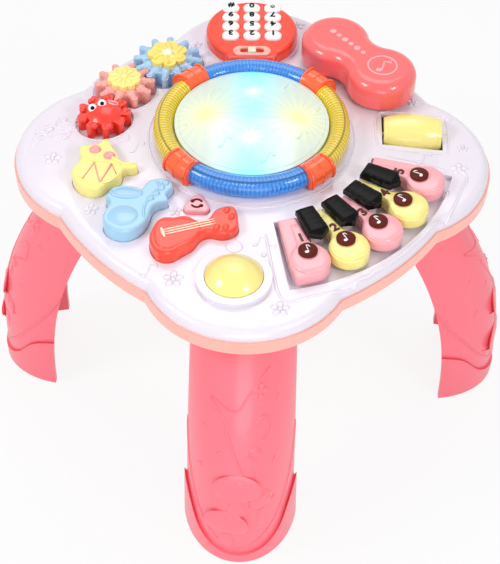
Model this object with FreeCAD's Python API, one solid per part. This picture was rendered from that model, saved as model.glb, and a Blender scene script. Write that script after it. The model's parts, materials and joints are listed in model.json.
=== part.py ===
import FreeCAD, Part
import math
import os
from FreeCAD import Vector

# Musical activity table for small children, in millimetres.
# The origin is the centre of the footprint on the floor, +Z is up.
# The drum is in the middle, the piano keys lie front right (+X, -Y) and the keypad at the back (+Y).

# Table outline: four lobes on the axes, joined by shallow side arcs
lobe_reach = 168.0
kink_radius = 143.4
kink_angle = 26.3
side_bulge = 5.3
kink_fillet = 6.0
band_proud = 1.4

# Heights
leg_height = 190.0
tray_slope_height = 13.5
band_height = 10.1
shoulder_rise = 8.4
crown_rise = 7.0
tray_inset = 14.0
band_z = leg_height + tray_slope_height
edge_z = band_z + band_height
shoulder_z = edge_z + shoulder_rise
crown_z = shoulder_z + crown_rise
crown_radius = 132.0

# Walls and clearances
wall = 2.6
edge_round = 6.5
button_gap = 0.35
flange_gap = 0.3
run_gap = 0.05
joint_gap = 0.3
lip_depth = 4.5
lip_wall = 1.6

# Legs
foot_reach = 198.0
leg_top_reach = 133.0
leg_mouth = 154.5
leg_top_mouth = 98.0
foot_half_width = 40.5
leg_top_half_width = 37.0
leg_wall = 3.0
leg_top_plate = 3.2
mouth_set_in = 9.5
skirt_proud = 2.0
skirt_height = 52.0
skirt_toe_height = 9.0
tongue_length = 18.0
tongue_width = 40.0
tongue_height = 12.0
tongue_reach = 115.0

# Drum and its ring
drum_x = -0.8
drum_y = 12.0
ring_radius = 62.5
ring_tube = 7.2
clamp_tube = 9.2
clamp_ring_radius = 64.3
clamp_half_angle = 9.0
ring_seat_rise = 1.3
ring_lift = 6.6
pad_radius = 54.6
pad_travel = 2.0
pad_edge_rise = 3.2
pad_skirt = 7.0
pad_dome = 8.6
pad_wall = 2.4
pad_bore = 52.0
seat_radius = 71.5

# Keypad
keypad_x = -5.3
keypad_y = 124.1
keypad_turn = 2.5
keypad_radius = 34.8
keypad_height = 9.0
keypad_foot_rise = 0.2
neck_half_width = 19.4
neck_reach = 35.4
neck_blend = 3.0
neck_corner = 4.5
key_columns = 3
key_rows = 4
key_pitch_x = 16.1
key_pitch_y = 11.35
key_first_row = -9.3
keypad_key_length = 13.4
keypad_key_width = 9.9
keypad_key_rise = 2.4
keypad_key_travel = 1.5
keypad_wall = 2.4

# Slide switch below the keypad
switch_y = -27.3
bezel_length = 28.3
bezel_width = 10.8
bezel_rise = 1.4
slot_length = 18.6
slot_width = 6.2
slider_length = 6.0
slider_travel = 3.0
slider_rise = 1.2

# Handset
handset_ends = [(58.3, 102.8), (91.7, 67.7)]
handset_radius = 25.4
handset_waist = 17.8
handset_height = 22.5
handset_split = 10.0
handset_round = 8.5
handset_wall = 2.4
cradle_radius = 17.0
cradle_boss_radius = 5.0
cradle_boss_height = 4.0
cradle_rise = 4.0

# Gears
gear_module = 3.75
gear_teeth = [12, 10, 9]
gear_tips = [25.8, 22.2, 19.4]
pink_x = -96.1
pink_y = 59.5
blue_direction = 44.7
red_direction = 251.1
tooth_half_width = 2.5
root_gap = 0.5
gear_thickness = 11.0
gear_well_drop = 1.2
gear_lift = 0.6
well_gap = 1.4
post_radius = 4.0
washer_radius = 6.5
cap_height = 5.0

# Push buttons
button_travel = 2.0
flange_grow = 1.1
flange_thickness = 1.6
dome_x = -6.7
dome_y = -122.0
dome_radius = 19.2
dome_height = 9.5
dome_rim = 6.0
dome_rim_rise = 2.6
mode_x = -34.8
mode_y = -61.9
mode_reach = 9.6

# Piano keys, placed round the drum's centre
piano_count = 5
piano_middle = -44.8
piano_pitch = 12.8
key_back = 89.0
key_neck_end = 109.5
neck_back_half = 3.2
neck_front_half = 4.5
paddle_centre = 128.6
paddle_radius = 13.8
key_join = 118.5
key_thickness = 8.0
piano_travel = 3.5
recess_drop = 3.2
recess_margin = 2.2
key_pin_reach = 93.5
key_pin_radius = 1.0
key_pin_hold = 3.0
black_back = 87.5
black_front = 110.5
black_tip = 115.5
black_back_half = 6.5
black_front_half = 7.5
black_height = 6.0
ridge_half = 4.6

# Roller
roller_x = 114.0
roller_y = 26.0
roller_length = 41.0
roller_middle = 15.5
roller_end = 12.2
roller_sink = 3.0
axle_radius = 1.5
axle_hold = 4.0
roller_gap = 1.2

# Inside
board_radius = 48.0
board_thickness = 1.6
board_rise = 22.6
lamp_radius = 2.5
lamp_height = 9.0
lamp_ring = 26.0
post_ring = 40.0
speaker_y = 62.0
speaker_radius = 20.0
speaker_height = 7.0
cell_radius = 7.25
cell_length = 50.5
cell_count = 3
bay_y = -52.0
bay_gap = 1.0
bay_wall = 3.2
door_lip = 1.6
socket_wall = 2.0
screw_radius = 1.5
screw_head = 3.0
screw_head_height = 2.0
case_screw_reach = 124.0
case_screw_angles = [30, 60, 120, 150, 210, 236, 300, 330]
case_screw_grip = 4.2

# Instrument outlines, as points on the table top
snare_points = [(-123, -37), (-118, -47), (-108, -53), (-101, -52), (-96, -46), (-88.5, -40.5), (-87, -33),
                (-78.5, -31), (-78.5, -26.5), (-87.5, -27), (-93, -18), (-98.5, -8.5), (-102.5, -2), (-107, -6.5),
                (-114, -9), (-119.5, -11), (-118.5, -23)]
sax_points = [(-95, -57), (-90.5, -51.5), (-85, -49.8), (-78, -50.5), (-73.5, -52.5), (-70.5, -46.5), (-64.5, -42),
              (-58, -41.3), (-53, -44.5), (-52, -50), (-55.5, -56.5), (-54, -62), (-61.5, -66), (-65.5, -76),
              (-68, -84), (-73, -89.8), (-80, -93), (-89, -91), (-95.5, -84.5), (-96, -76), (-93.5, -68.5),
              (-96, -62)]
guitar_points = [(-61.8, -86), (-59.5, -81), (-55, -77.8), (-49, -77.6), (-43.5, -76), (-38, -77), (-33.5, -80),
                 (-25.5, -76.8), (-22.5, -70.5), (-16, -66), (-10.5, -65.5), (-7.3, -70), (-6, -78), (-5.8, -84),
                 (-10, -89), (-17, -90.8), (-25, -89.6), (-30.5, -92.5), (-35, -100), (-41, -105), (-49.5, -110.8),
                 (-57, -109.5), (-62, -103.5), (-63.7, -94)]
snare_rise = 6.5
sax_rise = 6.5
guitar_rise = 6.0

os.makedirs("parts", exist_ok=True)


def save(shape, node):
    shape.exportStep("parts/" + node + ".step")


def turned(shape, angle, centre=Vector(0, 0, 0)):
    copy = shape.copy()
    copy.rotate(centre, Vector(0, 0, 1), angle)
    return copy


def moved(shape, x=0.0, y=0.0, z=0.0):
    copy = shape.copy()
    copy.translate(Vector(x, y, z))
    return copy


def rod(radius, low, high, x=0.0, y=0.0):
    return Part.makeCylinder(radius, high - low, Vector(x, y, low))


def block(x0, x1, y0, y1, z0, z1):
    return Part.makeBox(x1 - x0, y1 - y0, z1 - z0, Vector(x0, y0, z0))


def joined(shapes):
    first = shapes[0]
    if len(shapes) == 1:
        return first
    return first.multiFuse(shapes[1:]).removeSplitter()


def cut_all(shape, tools):
    return shape.cut(Part.Compound(tools)) if len(tools) == 1 else shape.cut(tools[0].multiFuse(tools[1:]))


def polar(radius, angle, z=0.0):
    return Vector(radius * math.cos(math.radians(angle)), radius * math.sin(math.radians(angle)), z)


def loop(points):
    """Closed wire of straight runs through (x, y) points."""
    corners = [Vector(x, y, 0) for x, y in points]
    return Part.makePolygon(corners + [corners[0]])


def raised(wire, low, high):
    """Prism on a closed flat wire drawn at height zero."""
    face = Part.Face(wire)
    face.translate(Vector(0, 0, low))
    return face.extrude(Vector(0, 0, high - low))


def level_edges(shape, z):
    """Edges that lie wholly at one height."""
    box_edges = []
    for edge in shape.Edges:
        box = edge.BoundBox
        if abs(box.ZMin - z) < 0.001 and abs(box.ZMax - z) < 0.001:
            box_edges.append(edge)
    return box_edges


# Table outline

def lobe_circle():
    kink = polar(kink_radius, kink_angle)
    centre = (lobe_reach ** 2 - kink_radius ** 2) / (2 * (lobe_reach - kink.x))
    return centre, lobe_reach - centre


def side_circle():
    half_span = 45.0 - kink_angle
    half_chord = kink_radius * math.sin(math.radians(half_span))
    radius = (half_chord ** 2 + side_bulge ** 2) / (2 * side_bulge)
    apex = kink_radius * math.cos(math.radians(half_span)) + side_bulge
    return apex - radius, radius


def circle_meeting(c1, r1, c2, r2, outward):
    """The point at r1 from c1 and r2 from c2 that lies on the side of the given direction."""
    gap = c2.sub(c1)
    distance = gap.Length
    along = (r1 ** 2 - r2 ** 2 + distance ** 2) / (2 * distance)
    across = math.sqrt(r1 ** 2 - along ** 2)
    unit = Vector(gap.x / distance, gap.y / distance, 0)
    normal = Vector(-unit.y, unit.x, 0)
    if normal.dot(outward) < 0:
        normal = normal.multiply(-1)
    return c1 + unit.multiply(along) + normal.multiply(across)


def toward(centre, target, radius):
    step = target.sub(centre)
    return centre + step.multiply(radius / step.Length)


def outline(grow):
    """Table outline, grown or shrunk evenly, as a closed wire at height zero."""
    lobe_x, lobe_r = lobe_circle()
    side_d, side_r = side_circle()
    edges = []
    for quarter in range(4):
        axis = 90.0 * quarter
        lobe = polar(lobe_x, axis)
        side = polar(side_d, axis + 45)
        next_lobe = polar(lobe_x, axis + 90)
        before = circle_meeting(lobe, lobe_r + kink_fillet, polar(side_d, axis - 45), side_r + kink_fillet,
                                polar(1, axis - kink_angle))
        after = circle_meeting(lobe, lobe_r + kink_fillet, side, side_r + kink_fillet, polar(1, axis + kink_angle))
        far = circle_meeting(next_lobe, lobe_r + kink_fillet, side, side_r + kink_fillet,
                             polar(1, axis + 90 - kink_angle))
        lobe_start = toward(lobe, before, lobe_r + grow)
        lobe_end = toward(lobe, after, lobe_r + grow)
        side_start = toward(side, after, side_r + grow)
        side_end = toward(side, far, side_r + grow)
        edges.append(Part.Arc(lobe_start, polar(lobe_reach + grow, axis), lobe_end).toShape())
        middle = toward(after, lobe_end + side_start - after, kink_fillet - grow)
        edges.append(Part.Arc(lobe_end, middle, side_start).toShape())
        edges.append(Part.Arc(side_start, polar(side_d + side_r + grow, axis + 45), side_end).toShape())
        next_start = toward(next_lobe, far, lobe_r + grow)
        middle = toward(far, side_end + next_start - far, kink_fillet - grow)
        edges.append(Part.Arc(side_end, middle, next_start).toShape())
    return Part.Wire(edges)


def crown_cap(base_radius, base_z, rise):
    """Low dome of revolution with its rim at base_z."""
    sphere_r = (base_radius ** 2 + rise ** 2) / (2 * rise)
    sphere = Part.makeSphere(sphere_r, Vector(0, 0, base_z + rise - sphere_r))
    return sphere.common(rod(base_radius, base_z - 0.5, base_z + rise + 1))


def crown_at(x, y):
    """Height of the table top at a point."""
    sphere_r = (crown_radius ** 2 + crown_rise ** 2) / (2 * crown_rise)
    reach = math.hypot(x, y)
    if reach > crown_radius:
        return shoulder_z
    return crown_z - sphere_r + math.sqrt(sphere_r ** 2 - reach ** 2)


def cover_block(grow, top_z):
    """Solid of the table top, without its openings."""
    slab = raised(outline(grow), edge_z, top_z)
    slab = slab.makeFillet(edge_round + grow, level_edges(slab, top_z))
    return slab.fuse(crown_cap(crown_radius + grow, top_z, crown_rise)).removeSplitter()


# Shapes drawn through points

def grown_points(points, grow):
    """Points of a closed outline that runs anticlockwise, moved outwards along the local normal."""
    result = []
    count = len(points)
    for i in range(count):
        before = points[i - 1]
        after = points[(i + 1) % count]
        dx = after[0] - before[0]
        dy = after[1] - before[1]
        length = math.hypot(dx, dy)
        result.append((points[i][0] + grow * dy / length, points[i][1] - grow * dx / length))
    return result


def lowest_top(points):
    """Lowest height of the table top round an outline's holding flange."""
    return min(crown_at(x, y) for x, y in grown_points(points, flange_grow + 1.0))


def smooth_loop(points, grow=0.0, z=0.0):
    curve = Part.BSplineCurve()
    curve.interpolate([Vector(x, y, z) for x, y in grown_points(points, grow)], PeriodicFlag=True)
    return Part.Wire([curve.toShape()])


def anticlockwise(points):
    area = 0.0
    for i in range(len(points)):
        x0, y0 = points[i - 1]
        x1, y1 = points[i]
        area += x0 * y1 - x1 * y0
    return points if area > 0 else points[::-1]


def pressed_cap(points, top, round_size=1.6):
    """Button with a guide body, a rounded top and a holding flange below the table top's skin."""
    points = anticlockwise(points)
    skin = lowest_top(points) - wall
    body = raised(smooth_loop(points), skin - flange_gap - flange_thickness, top - round_size)
    sections = [smooth_loop(points, 0.0, top - round_size),
                smooth_loop(points, -0.35 * round_size, top - 0.3 * round_size),
                smooth_loop(points, -round_size, top)]
    crown = Part.makeLoft(sections, True, True)
    flange = raised(smooth_loop(points, flange_grow), skin - flange_gap - flange_thickness, skin - flange_gap)
    return joined([body, crown, flange])


def cap_opening(points):
    points = anticlockwise(points)
    return raised(smooth_loop(points, button_gap), edge_z, crown_z + 20)


# Legs

def leg_outer(share):
    return foot_reach - (foot_reach - leg_top_reach) * share ** 2.7


def leg_inner(share):
    return leg_mouth - (leg_mouth - leg_top_mouth) * share ** 2.3


def leg_section(z, grow, open_by=0.0):
    """Half ellipse across the leg at one height, closed by a straight line at the leg's open side."""
    share = min(max(z / leg_height, 0.0), 1.0)
    centre = leg_inner(share) - mouth_set_in
    reach = leg_outer(share) - centre + grow
    half = foot_half_width + (leg_top_half_width - foot_half_width) * share + grow
    mouth = leg_inner(share) - open_by
    turn = math.acos((mouth - centre) / reach)
    ellipse = Part.Ellipse(Vector(centre, 0, z), reach, half)
    arc = Part.ArcOfEllipse(ellipse, -turn, turn).toShape()
    line = Part.LineSegment(arc.valueAt(arc.LastParameter), arc.valueAt(arc.FirstParameter)).toShape()
    return Part.Wire([arc, line])


def leg_loft(low, high, grow, open_by=0.0):
    shares = [0.0, 0.2, 0.4, 0.55, 0.7, 0.85, 1.0]
    return Part.makeLoft([leg_section(low + (high - low) * s, grow, open_by) for s in shares], True, False)


def skirt_window():
    """Prism, pushed along X, that removes the foot skirt above its U-shaped upper edge."""
    half = foot_half_width + 8.0
    edge_points = [(-half, skirt_height + 2), (-0.94 * foot_half_width, 0.86 * skirt_height),
                   (-0.7 * foot_half_width, 0.42 * skirt_height), (-0.4 * foot_half_width, skirt_toe_height + 3),
                   (0, skirt_toe_height), (0.4 * foot_half_width, skirt_toe_height + 3),
                   (0.7 * foot_half_width, 0.42 * skirt_height), (0.94 * foot_half_width, 0.86 * skirt_height),
                   (half, skirt_height + 2)]
    curve = Part.BSplineCurve()
    curve.interpolate([Vector(0, y, z) for y, z in edge_points])
    top = leg_height
    sides = Part.makePolygon([Vector(0, half, skirt_height + 2), Vector(0, half, top), Vector(0, -half, top),
                              Vector(0, -half, skirt_height + 2)])
    face = Part.Face(Part.Wire([curve.toShape()] + sides.Edges))
    return face.extrude(Vector(foot_reach + 20, 0, 0))


def leg_screw_places():
    """Screws that hold one leg, on its +X place."""
    return [(leg_top_mouth + 7.0, side * 27.0) for side in (-1, 1)]


def leg():
    """One leg as an open channel that faces the middle of the table, on its +X place."""
    body = leg_loft(0.0, leg_height, 0.0)
    skirt = Part.makeLoft([leg_section(z, skirt_proud) for z in (0.0, 0.35 * skirt_height, 0.7 * skirt_height,
                                                                 skirt_height)], True, False)
    body = joined([body, skirt.cut(skirt_window())])
    hollow = leg_loft(0.0, leg_height - leg_top_plate, -leg_wall, 6.0)
    below = raised(leg_section(0.0, -leg_wall, 6.0), -1.0, 0.5)
    half = tongue_width / 2
    tongue = block(tongue_reach - tongue_length / 2, tongue_reach + tongue_length / 2, -half, half,
                   leg_height - leg_top_plate, leg_height + tongue_height)
    core = block(tongue_reach - tongue_length / 2 + leg_wall, tongue_reach + tongue_length / 2 - leg_wall,
                 leg_wall - half, half - leg_wall, leg_height - leg_top_plate - 1,
                 leg_height + tongue_height - leg_wall)
    body = cut_all(body, [hollow, below]).fuse(tongue)
    holes = [rod(screw_radius + 0.2, leg_height - 20, leg_height + 5, x, y) for x, y in leg_screw_places()]
    return cut_all(body, [core] + holes)


# Bottom tray

def case_screw_places():
    return [(polar(case_screw_reach, a).x, polar(case_screw_reach, a).y) for a in case_screw_angles]


def tray_body(grow):
    low = outline(band_proud - tray_inset + grow)
    low.translate(Vector(0, 0, leg_height - min(grow, 0)))
    middle = outline(band_proud + grow)
    middle.translate(Vector(0, 0, band_z))
    slope = Part.makeLoft([low, middle], True, True)
    return slope.fuse(raised(outline(band_proud + grow), band_z, edge_z)).removeSplitter()


def bay_size():
    length = cell_length + 2 * bay_gap
    width = 2 * cell_radius * cell_count + 2 * bay_gap
    height = 2 * cell_radius + 2 * bay_gap
    return length, width, height


def bottom_housing():
    """Tray with the peach band, the battery bay, the leg sockets, the speaker seat and the screw posts."""
    shell = tray_body(0.0).cut(tray_body(-wall))
    floor_top = leg_height + wall
    length, width, height = bay_size()
    door_z = leg_height + wall
    bay = block(-length / 2 - bay_wall, length / 2 + bay_wall, bay_y - width / 2 - bay_wall,
                bay_y + width / 2 + bay_wall, leg_height, door_z + height + bay_wall)
    bay_room = block(-length / 2, length / 2, bay_y - width / 2, bay_y + width / 2, door_z, door_z + height)
    door_seat = block(-length / 2 - door_lip, length / 2 + door_lip, bay_y - width / 2 - door_lip,
                      bay_y + width / 2 + door_lip, leg_height - 1, door_z)
    adds = [shell, bay]
    cuts = [bay_room, door_seat]
    socket = tongue_length / 2 + joint_gap
    half = tongue_width / 2 + joint_gap
    socket_top = leg_height + tongue_height + joint_gap
    for quarter in range(4):
        angle = 90.0 * quarter
        box = block(tongue_reach - socket - socket_wall, tongue_reach + socket + socket_wall, -half - socket_wall,
                    half + socket_wall, leg_height, socket_top + socket_wall)
        room = block(tongue_reach - socket, tongue_reach + socket, -half, half, leg_height - 1, socket_top)
        adds.append(turned(box, angle))
        cuts.append(turned(room, angle))
        for x, y in leg_screw_places():
            adds.append(turned(rod(4.0, leg_height, leg_height + tongue_height, x, y), angle))
            cuts.append(turned(rod(screw_radius, leg_height - 1, leg_height + tongue_height - 2, x, y), angle))
    for x, y in case_screw_places():
        adds.append(rod(4.5, leg_height, edge_z, x, y))
        cuts.append(rod(screw_head + 0.4, leg_height - 1, leg_height + 12, x, y))
        cuts.append(rod(screw_radius + 0.2, leg_height, edge_z + 1, x, y))
    board_z = leg_height + board_rise
    for k in range(4):
        place = polar(post_ring, 90.0 * k + 45)
        x, y = drum_x + place.x, drum_y + place.y
        adds.append(rod(3.0, leg_height, board_z, x, y))
        cuts.append(rod(screw_radius, board_z - 8, board_z + 1, x, y))
    seat = rod(speaker_radius + 2.0, floor_top - 0.5, floor_top + 3, 0, speaker_y)
    seat = seat.cut(rod(speaker_radius + 0.1, floor_top - 1, floor_top + 4, 0, speaker_y))
    adds.append(seat)
    for ring, count in ((0, 1), (6.5, 6), (13.0, 12)):
        for k in range(count):
            place = polar(ring, 360.0 * k / count)
            cuts.append(rod(1.5, leg_height - 1, floor_top + 1, place.x, speaker_y + place.y))
    return cut_all(joined(adds), cuts)


def battery_door():
    length, width, height = bay_size()
    slack = joint_gap
    half_l = length / 2 + door_lip - slack
    half_w = width / 2 + door_lip - slack
    plate = block(-half_l, half_l, bay_y - half_w, bay_y + half_w, leg_height, leg_height + wall - joint_gap / 3)
    grips = [block(-12, 12, bay_y + k * 4 - 0.6, bay_y + k * 4 + 0.6, leg_height - 0.01, leg_height + 0.8)
             for k in range(-2, 3)]
    return cut_all(plate, grips)


def battery_cells():
    z = leg_height + wall + cell_radius + 0.2
    cells = []
    for k in range(cell_count):
        y = bay_y + (k - (cell_count - 1) / 2) * 2 * (cell_radius + 0.1)
        side = 1 if k % 2 == 0 else -1
        body = Part.makeCylinder(cell_radius, cell_length - 1.5, Vector(-side * cell_length / 2, y, z),
                                 Vector(side, 0, 0))
        tip = Part.makeCylinder(2.6, 1.5, Vector(side * (cell_length / 2 - 1.5), y, z), Vector(side, 0, 0))
        cells.append(body.fuse(tip))
    return Part.Compound(cells)


# Top cover

def fan_shape(back, front, half_angle, low, high):
    """Sector round the drum's centre that holds the piano keys."""
    start, end = piano_middle - half_angle, piano_middle + half_angle
    edges = [Part.Arc(polar(front, start), polar(front, piano_middle), polar(front, end)).toShape(),
             Part.LineSegment(polar(front, end), polar(back, end)).toShape(),
             Part.Arc(polar(back, end), polar(back, piano_middle), polar(back, start)).toShape(),
             Part.LineSegment(polar(back, start), polar(front, start)).toShape()]
    return moved(raised(Part.Wire(edges), low, high), drum_x, drum_y)


def recess_floor():
    return shoulder_z - recess_drop


def piano_fan(grow, low, high):
    half_angle = piano_pitch * piano_count / 2 + math.degrees((recess_margin + grow) / key_neck_end)
    front = paddle_centre + paddle_radius + recess_margin + grow
    return fan_shape(black_back - grow, front, half_angle, low, high)


def gear_places():
    pink = Vector(pink_x, pink_y, 0)
    blue = pink + polar(gear_module * (gear_teeth[0] + gear_teeth[1]) / 2, blue_direction)
    red = pink + polar(gear_module * (gear_teeth[1] + gear_teeth[2]) / 2, red_direction)
    return [blue, pink, red]


def gear_floor(index):
    """Floor of a gear's well, a little below the lowest point of the top round its rim."""
    place = gear_places()[index]
    reach = math.hypot(place.x, place.y) + gear_tips[index]
    return crown_at(reach, 0) - gear_well_drop


def gear_base():
    """The three gears turn at one height."""
    return min(gear_floor(i) for i in range(3))


def handset_base():
    return min(crown_at(x, y) for x, y in handset_ends) + cradle_rise


def keypad_base():
    return crown_at(0, keypad_y - neck_reach) + keypad_foot_rise


def keypad_placed(shape):
    return moved(turned(shape, keypad_turn), keypad_x, keypad_y)


def keypad_wire(grow):
    """Disc and neck of the keypad panel, drawn with the disc's centre at the origin."""
    radius = keypad_radius + grow
    half = neck_half_width + grow
    low = -neck_reach - grow
    corner = neck_corner + grow
    blend = neck_blend - grow
    centre_x = half + blend
    centre_y = -math.sqrt((radius + blend) ** 2 - centre_x ** 2)
    tangent = Vector(centre_x, centre_y, 0).multiply(radius / (radius + blend))
    mid_angle = (math.degrees(math.atan2(-centre_y, -centre_x)) + 180) / 2
    blend_mid = Vector(centre_x, centre_y, 0) + polar(blend, mid_angle)
    slant = corner * (1 - math.sqrt(0.5))
    right = [Part.Arc(tangent, blend_mid, Vector(half, centre_y, 0)).toShape(),
             Part.LineSegment(Vector(half, centre_y, 0), Vector(half, low + corner, 0)).toShape(),
             Part.Arc(Vector(half, low + corner, 0), Vector(half - slant, low + slant, 0),
                      Vector(half - corner, low, 0)).toShape()]
    left = [edge.mirror(Vector(0, 0, 0), Vector(1, 0, 0)) for edge in right]
    top = Part.Arc(tangent, Vector(0, radius, 0), Vector(-tangent.x, tangent.y, 0)).toShape()
    base = Part.LineSegment(Vector(half - corner, low, 0), Vector(corner - half, low, 0)).toShape()
    return Part.Wire(Part.__sortEdges__(right + left + [top, base]))


def key_centres():
    centres = []
    for row in range(key_rows):
        for column in range(key_columns):
            x = (column - (key_columns - 1) / 2) * key_pitch_x
            y = key_first_row + row * key_pitch_y
            centres.append((x, y))
    return centres


def stadium(length, width):
    """Closed wire of a long hole, centred on the origin along X."""
    half = (length - width) / 2
    r = width / 2
    edges = [Part.LineSegment(Vector(-half, -r, 0), Vector(half, -r, 0)).toShape(),
             Part.Arc(Vector(half, -r, 0), Vector(half + r, 0, 0), Vector(half, r, 0)).toShape(),
             Part.LineSegment(Vector(half, r, 0), Vector(-half, r, 0)).toShape(),
             Part.Arc(Vector(-half, r, 0), Vector(-half - r, 0, 0), Vector(-half, -r, 0)).toShape()]
    return Part.Wire(edges)


def roller_axis_z():
    return crown_at(roller_x, roller_y) - roller_sink


def black_angles():
    return [piano_middle + (k - (piano_count - 2) / 2) * piano_pitch for k in range(piano_count - 1)]


def key_angles():
    return [piano_middle + (k - (piano_count - 1) / 2) * piano_pitch for k in range(piano_count)]


def key_pin_z():
    return recess_floor() + 3.4


def key_bottom():
    reach = paddle_centre + paddle_radius - key_pin_reach
    return recess_floor() + reach * math.sin(math.radians(piano_travel)) + 0.6


def ridge(angle, half):
    """Wall between two keys that carries their pins and a black key."""
    body = block(black_back - 1.0, black_front - 1.5, -half, half, recess_floor() - 0.1,
                 key_bottom() + key_thickness - 1.0)
    return moved(turned(body, angle), drum_x, drum_y)


def key_pin(angle, extra=0.0):
    half = neck_back_half + (neck_front_half - neck_back_half) * (key_pin_reach - key_back) / (
        key_neck_end - key_back)
    pin = Part.makeCylinder(key_pin_radius + extra, 2 * (half + key_pin_hold + 0.6),
                            Vector(key_pin_reach, -half - key_pin_hold - 0.6, key_pin_z()), Vector(0, 1, 0))
    return moved(turned(pin, angle), drum_x, drum_y)


def instruments():
    return [("drum_button", snare_points, snare_rise), ("saxophone_button", sax_points, sax_rise),
            ("guitar_button", guitar_points, guitar_rise)]


def mode_wire(grow):
    """Rounded triangle with its point towards the back."""
    corner = 4.2 + grow
    reach = mode_reach - 4.2
    corners = [polar(reach, 90.0 + 120 * k) for k in range(3)]
    edges = []
    for k in range(3):
        out = 90.0 + 120 * k
        start = corners[k] + polar(corner, out - 60)
        end = corners[k] + polar(corner, out + 60)
        edges.append(Part.Arc(start, corners[k] + polar(corner, out), end).toShape())
        nxt = corners[(k + 1) % 3] + polar(corner, out + 60)
        edges.append(Part.LineSegment(end, nxt).toShape())
    return Part.Wire(edges)


def top_cover():
    """Crowned shell with lands, wells and openings for everything that it carries."""
    outer = cover_block(0.0, shoulder_z)
    inner = cover_block(-wall, shoulder_z - wall)
    mouth = raised(outline(-wall), edge_z - 1, edge_z + 0.5)
    shell = cut_all(outer, [inner, mouth])
    lip = raised(outline(band_proud - wall - joint_gap), edge_z - lip_depth, edge_z + 1)
    lip = lip.cut(raised(outline(band_proud - wall - joint_gap - lip_wall), edge_z - lip_depth - 1, edge_z + 2))
    lip = lip.common(raised(outline(-0.2), edge_z - lip_depth - 1, edge_z + 2))
    seat_z = crown_z + ring_seat_rise
    adds = [shell, lip, rod(seat_radius, crown_z - wall - 3, seat_z, drum_x, drum_y)]
    cuts = [rod(pad_bore, edge_z, seat_z + 1, drum_x, drum_y),
            rod(seat_radius - wall, edge_z, seat_z - wall, drum_x, drum_y)]
    cups = [piano_fan(wall, recess_floor() - wall, crown_z + 5)]
    cuts.append(piano_fan(0.0, recess_floor(), crown_z + 5))
    floor_z = gear_base()
    for place, tip in zip(gear_places(), gear_tips):
        cups.append(rod(tip + well_gap + wall, floor_z - wall, crown_z + 5, place.x, place.y))
        cuts.append(rod(tip + well_gap, floor_z, crown_z + 5, place.x, place.y))
    adds += [cup.common(outer) for cup in cups]
    adds.append(keypad_placed(raised(keypad_wire(1.6), shoulder_z - wall, keypad_base())))
    cuts.append(keypad_placed(raised(keypad_wire(-keypad_wall - 1.0), edge_z, keypad_base() + 1)))
    for x, y in handset_ends:
        adds.append(rod(cradle_radius, crown_at(x, y) - wall - 0.5, handset_base(), x, y))
    dome_skin = crown_at(dome_x, dome_y)
    adds.append(rod(dome_radius + dome_rim, dome_skin - wall, dome_skin + dome_rim_rise, dome_x, dome_y))
    cuts.append(rod(dome_radius + button_gap, edge_z, crown_z + 9, dome_x, dome_y))
    cuts.append(moved(raised(mode_wire(button_gap), edge_z, crown_z + 9), mode_x, mode_y))
    cuts += [cap_opening(points) for name, points, rise in instruments()]
    half_l = roller_length / 2 + roller_gap
    half_w = roller_middle + roller_gap
    cuts.append(block(roller_x - half_l, roller_x + half_l, roller_y - half_w, roller_y + half_w, edge_z - 5,
                      crown_z + 5))
    body = cut_all(joined(adds), cuts)
    return cut_all(joined([body] + cover_posts()), cover_bores())


def in_fan(x, y):
    """True above the piano's recess, with room for a screw post."""
    place = Vector(x - drum_x, y - drum_y, 0)
    turn = math.degrees(math.atan2(place.y, place.x)) - piano_middle
    return abs(turn) < piano_pitch * piano_count / 2 + 2 and place.Length > black_back


def skin_under(x, y):
    """Height of the cover's underside at a point."""
    if in_fan(x, y):
        return recess_floor() - wall
    for place, tip in zip(gear_places(), gear_tips):
        if math.hypot(x - place.x, y - place.y) < tip + well_gap:
            return gear_base() - wall
    return crown_at(x, y) - wall


def cover_posts():
    """Bosses, ridges and lugs that stand in the openings of the cover or hang below it."""
    posts = []
    for x, y in case_screw_places():
        posts.append(rod(4.2, edge_z, skin_under(x, y) + 0.5, x, y))
    for place in gear_places():
        posts.append(rod(post_radius, gear_base() - wall, gear_base() + gear_lift + gear_thickness - 2.6,
                         place.x, place.y))
        posts.append(rod(post_radius + 1.5, gear_base() - wall, gear_base() + gear_lift - 0.1, place.x, place.y))
    for x, y in handset_ends:
        posts.append(rod(cradle_boss_radius, handset_base() - 1, handset_base() + cradle_boss_height, x, y))
    for angle in black_angles():
        posts.append(ridge(angle, ridge_half))
    posts.append(end_lug(key_angles()[0], -1, 0.0))
    posts.append(end_lug(key_angles()[-1], 1, 0.0))
    for side in (-1, 1):
        x = roller_x + side * (roller_length / 2 + roller_gap + wall / 2)
        posts.append(block(x - wall / 2, x + wall / 2, roller_y - 6, roller_y + 6, roller_axis_z() - 4,
                           crown_at(x, roller_y + 6) - wall + 0.8))
    return posts


def end_lug(angle, side, grow):
    """Lug beside the knuckle of an end key that holds the outer end of its pin."""
    near = neck_front_half - 0.8 - grow
    far = near + key_pin_hold + 2 * grow
    body = block(key_pin_reach - 2.6 - grow, key_pin_reach + 2.6 + grow, min(side * near, side * far),
                 max(side * near, side * far), recess_floor() - 0.1, key_pin_z() + 1.8 + grow)
    return moved(turned(body, angle), drum_x, drum_y)


def cover_bores():
    bores = []
    for x, y in case_screw_places():
        bores.append(rod(screw_radius, edge_z - 1, edge_z + case_screw_grip + 0.2, x, y))
    for place in gear_places():
        bores.append(rod(screw_radius, gear_base() - wall - 1, gear_base() + gear_lift + gear_thickness, place.x,
                         place.y))
    bores += [key_pin(angle) for angle in key_angles()]
    z = roller_axis_z()
    length = roller_length + 2 * (roller_gap + axle_hold)
    bores.append(Part.makeCylinder(axle_radius, length, Vector(roller_x - length / 2, roller_y, z),
                                   Vector(1, 0, 0)))
    return bores


# Drum

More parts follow.
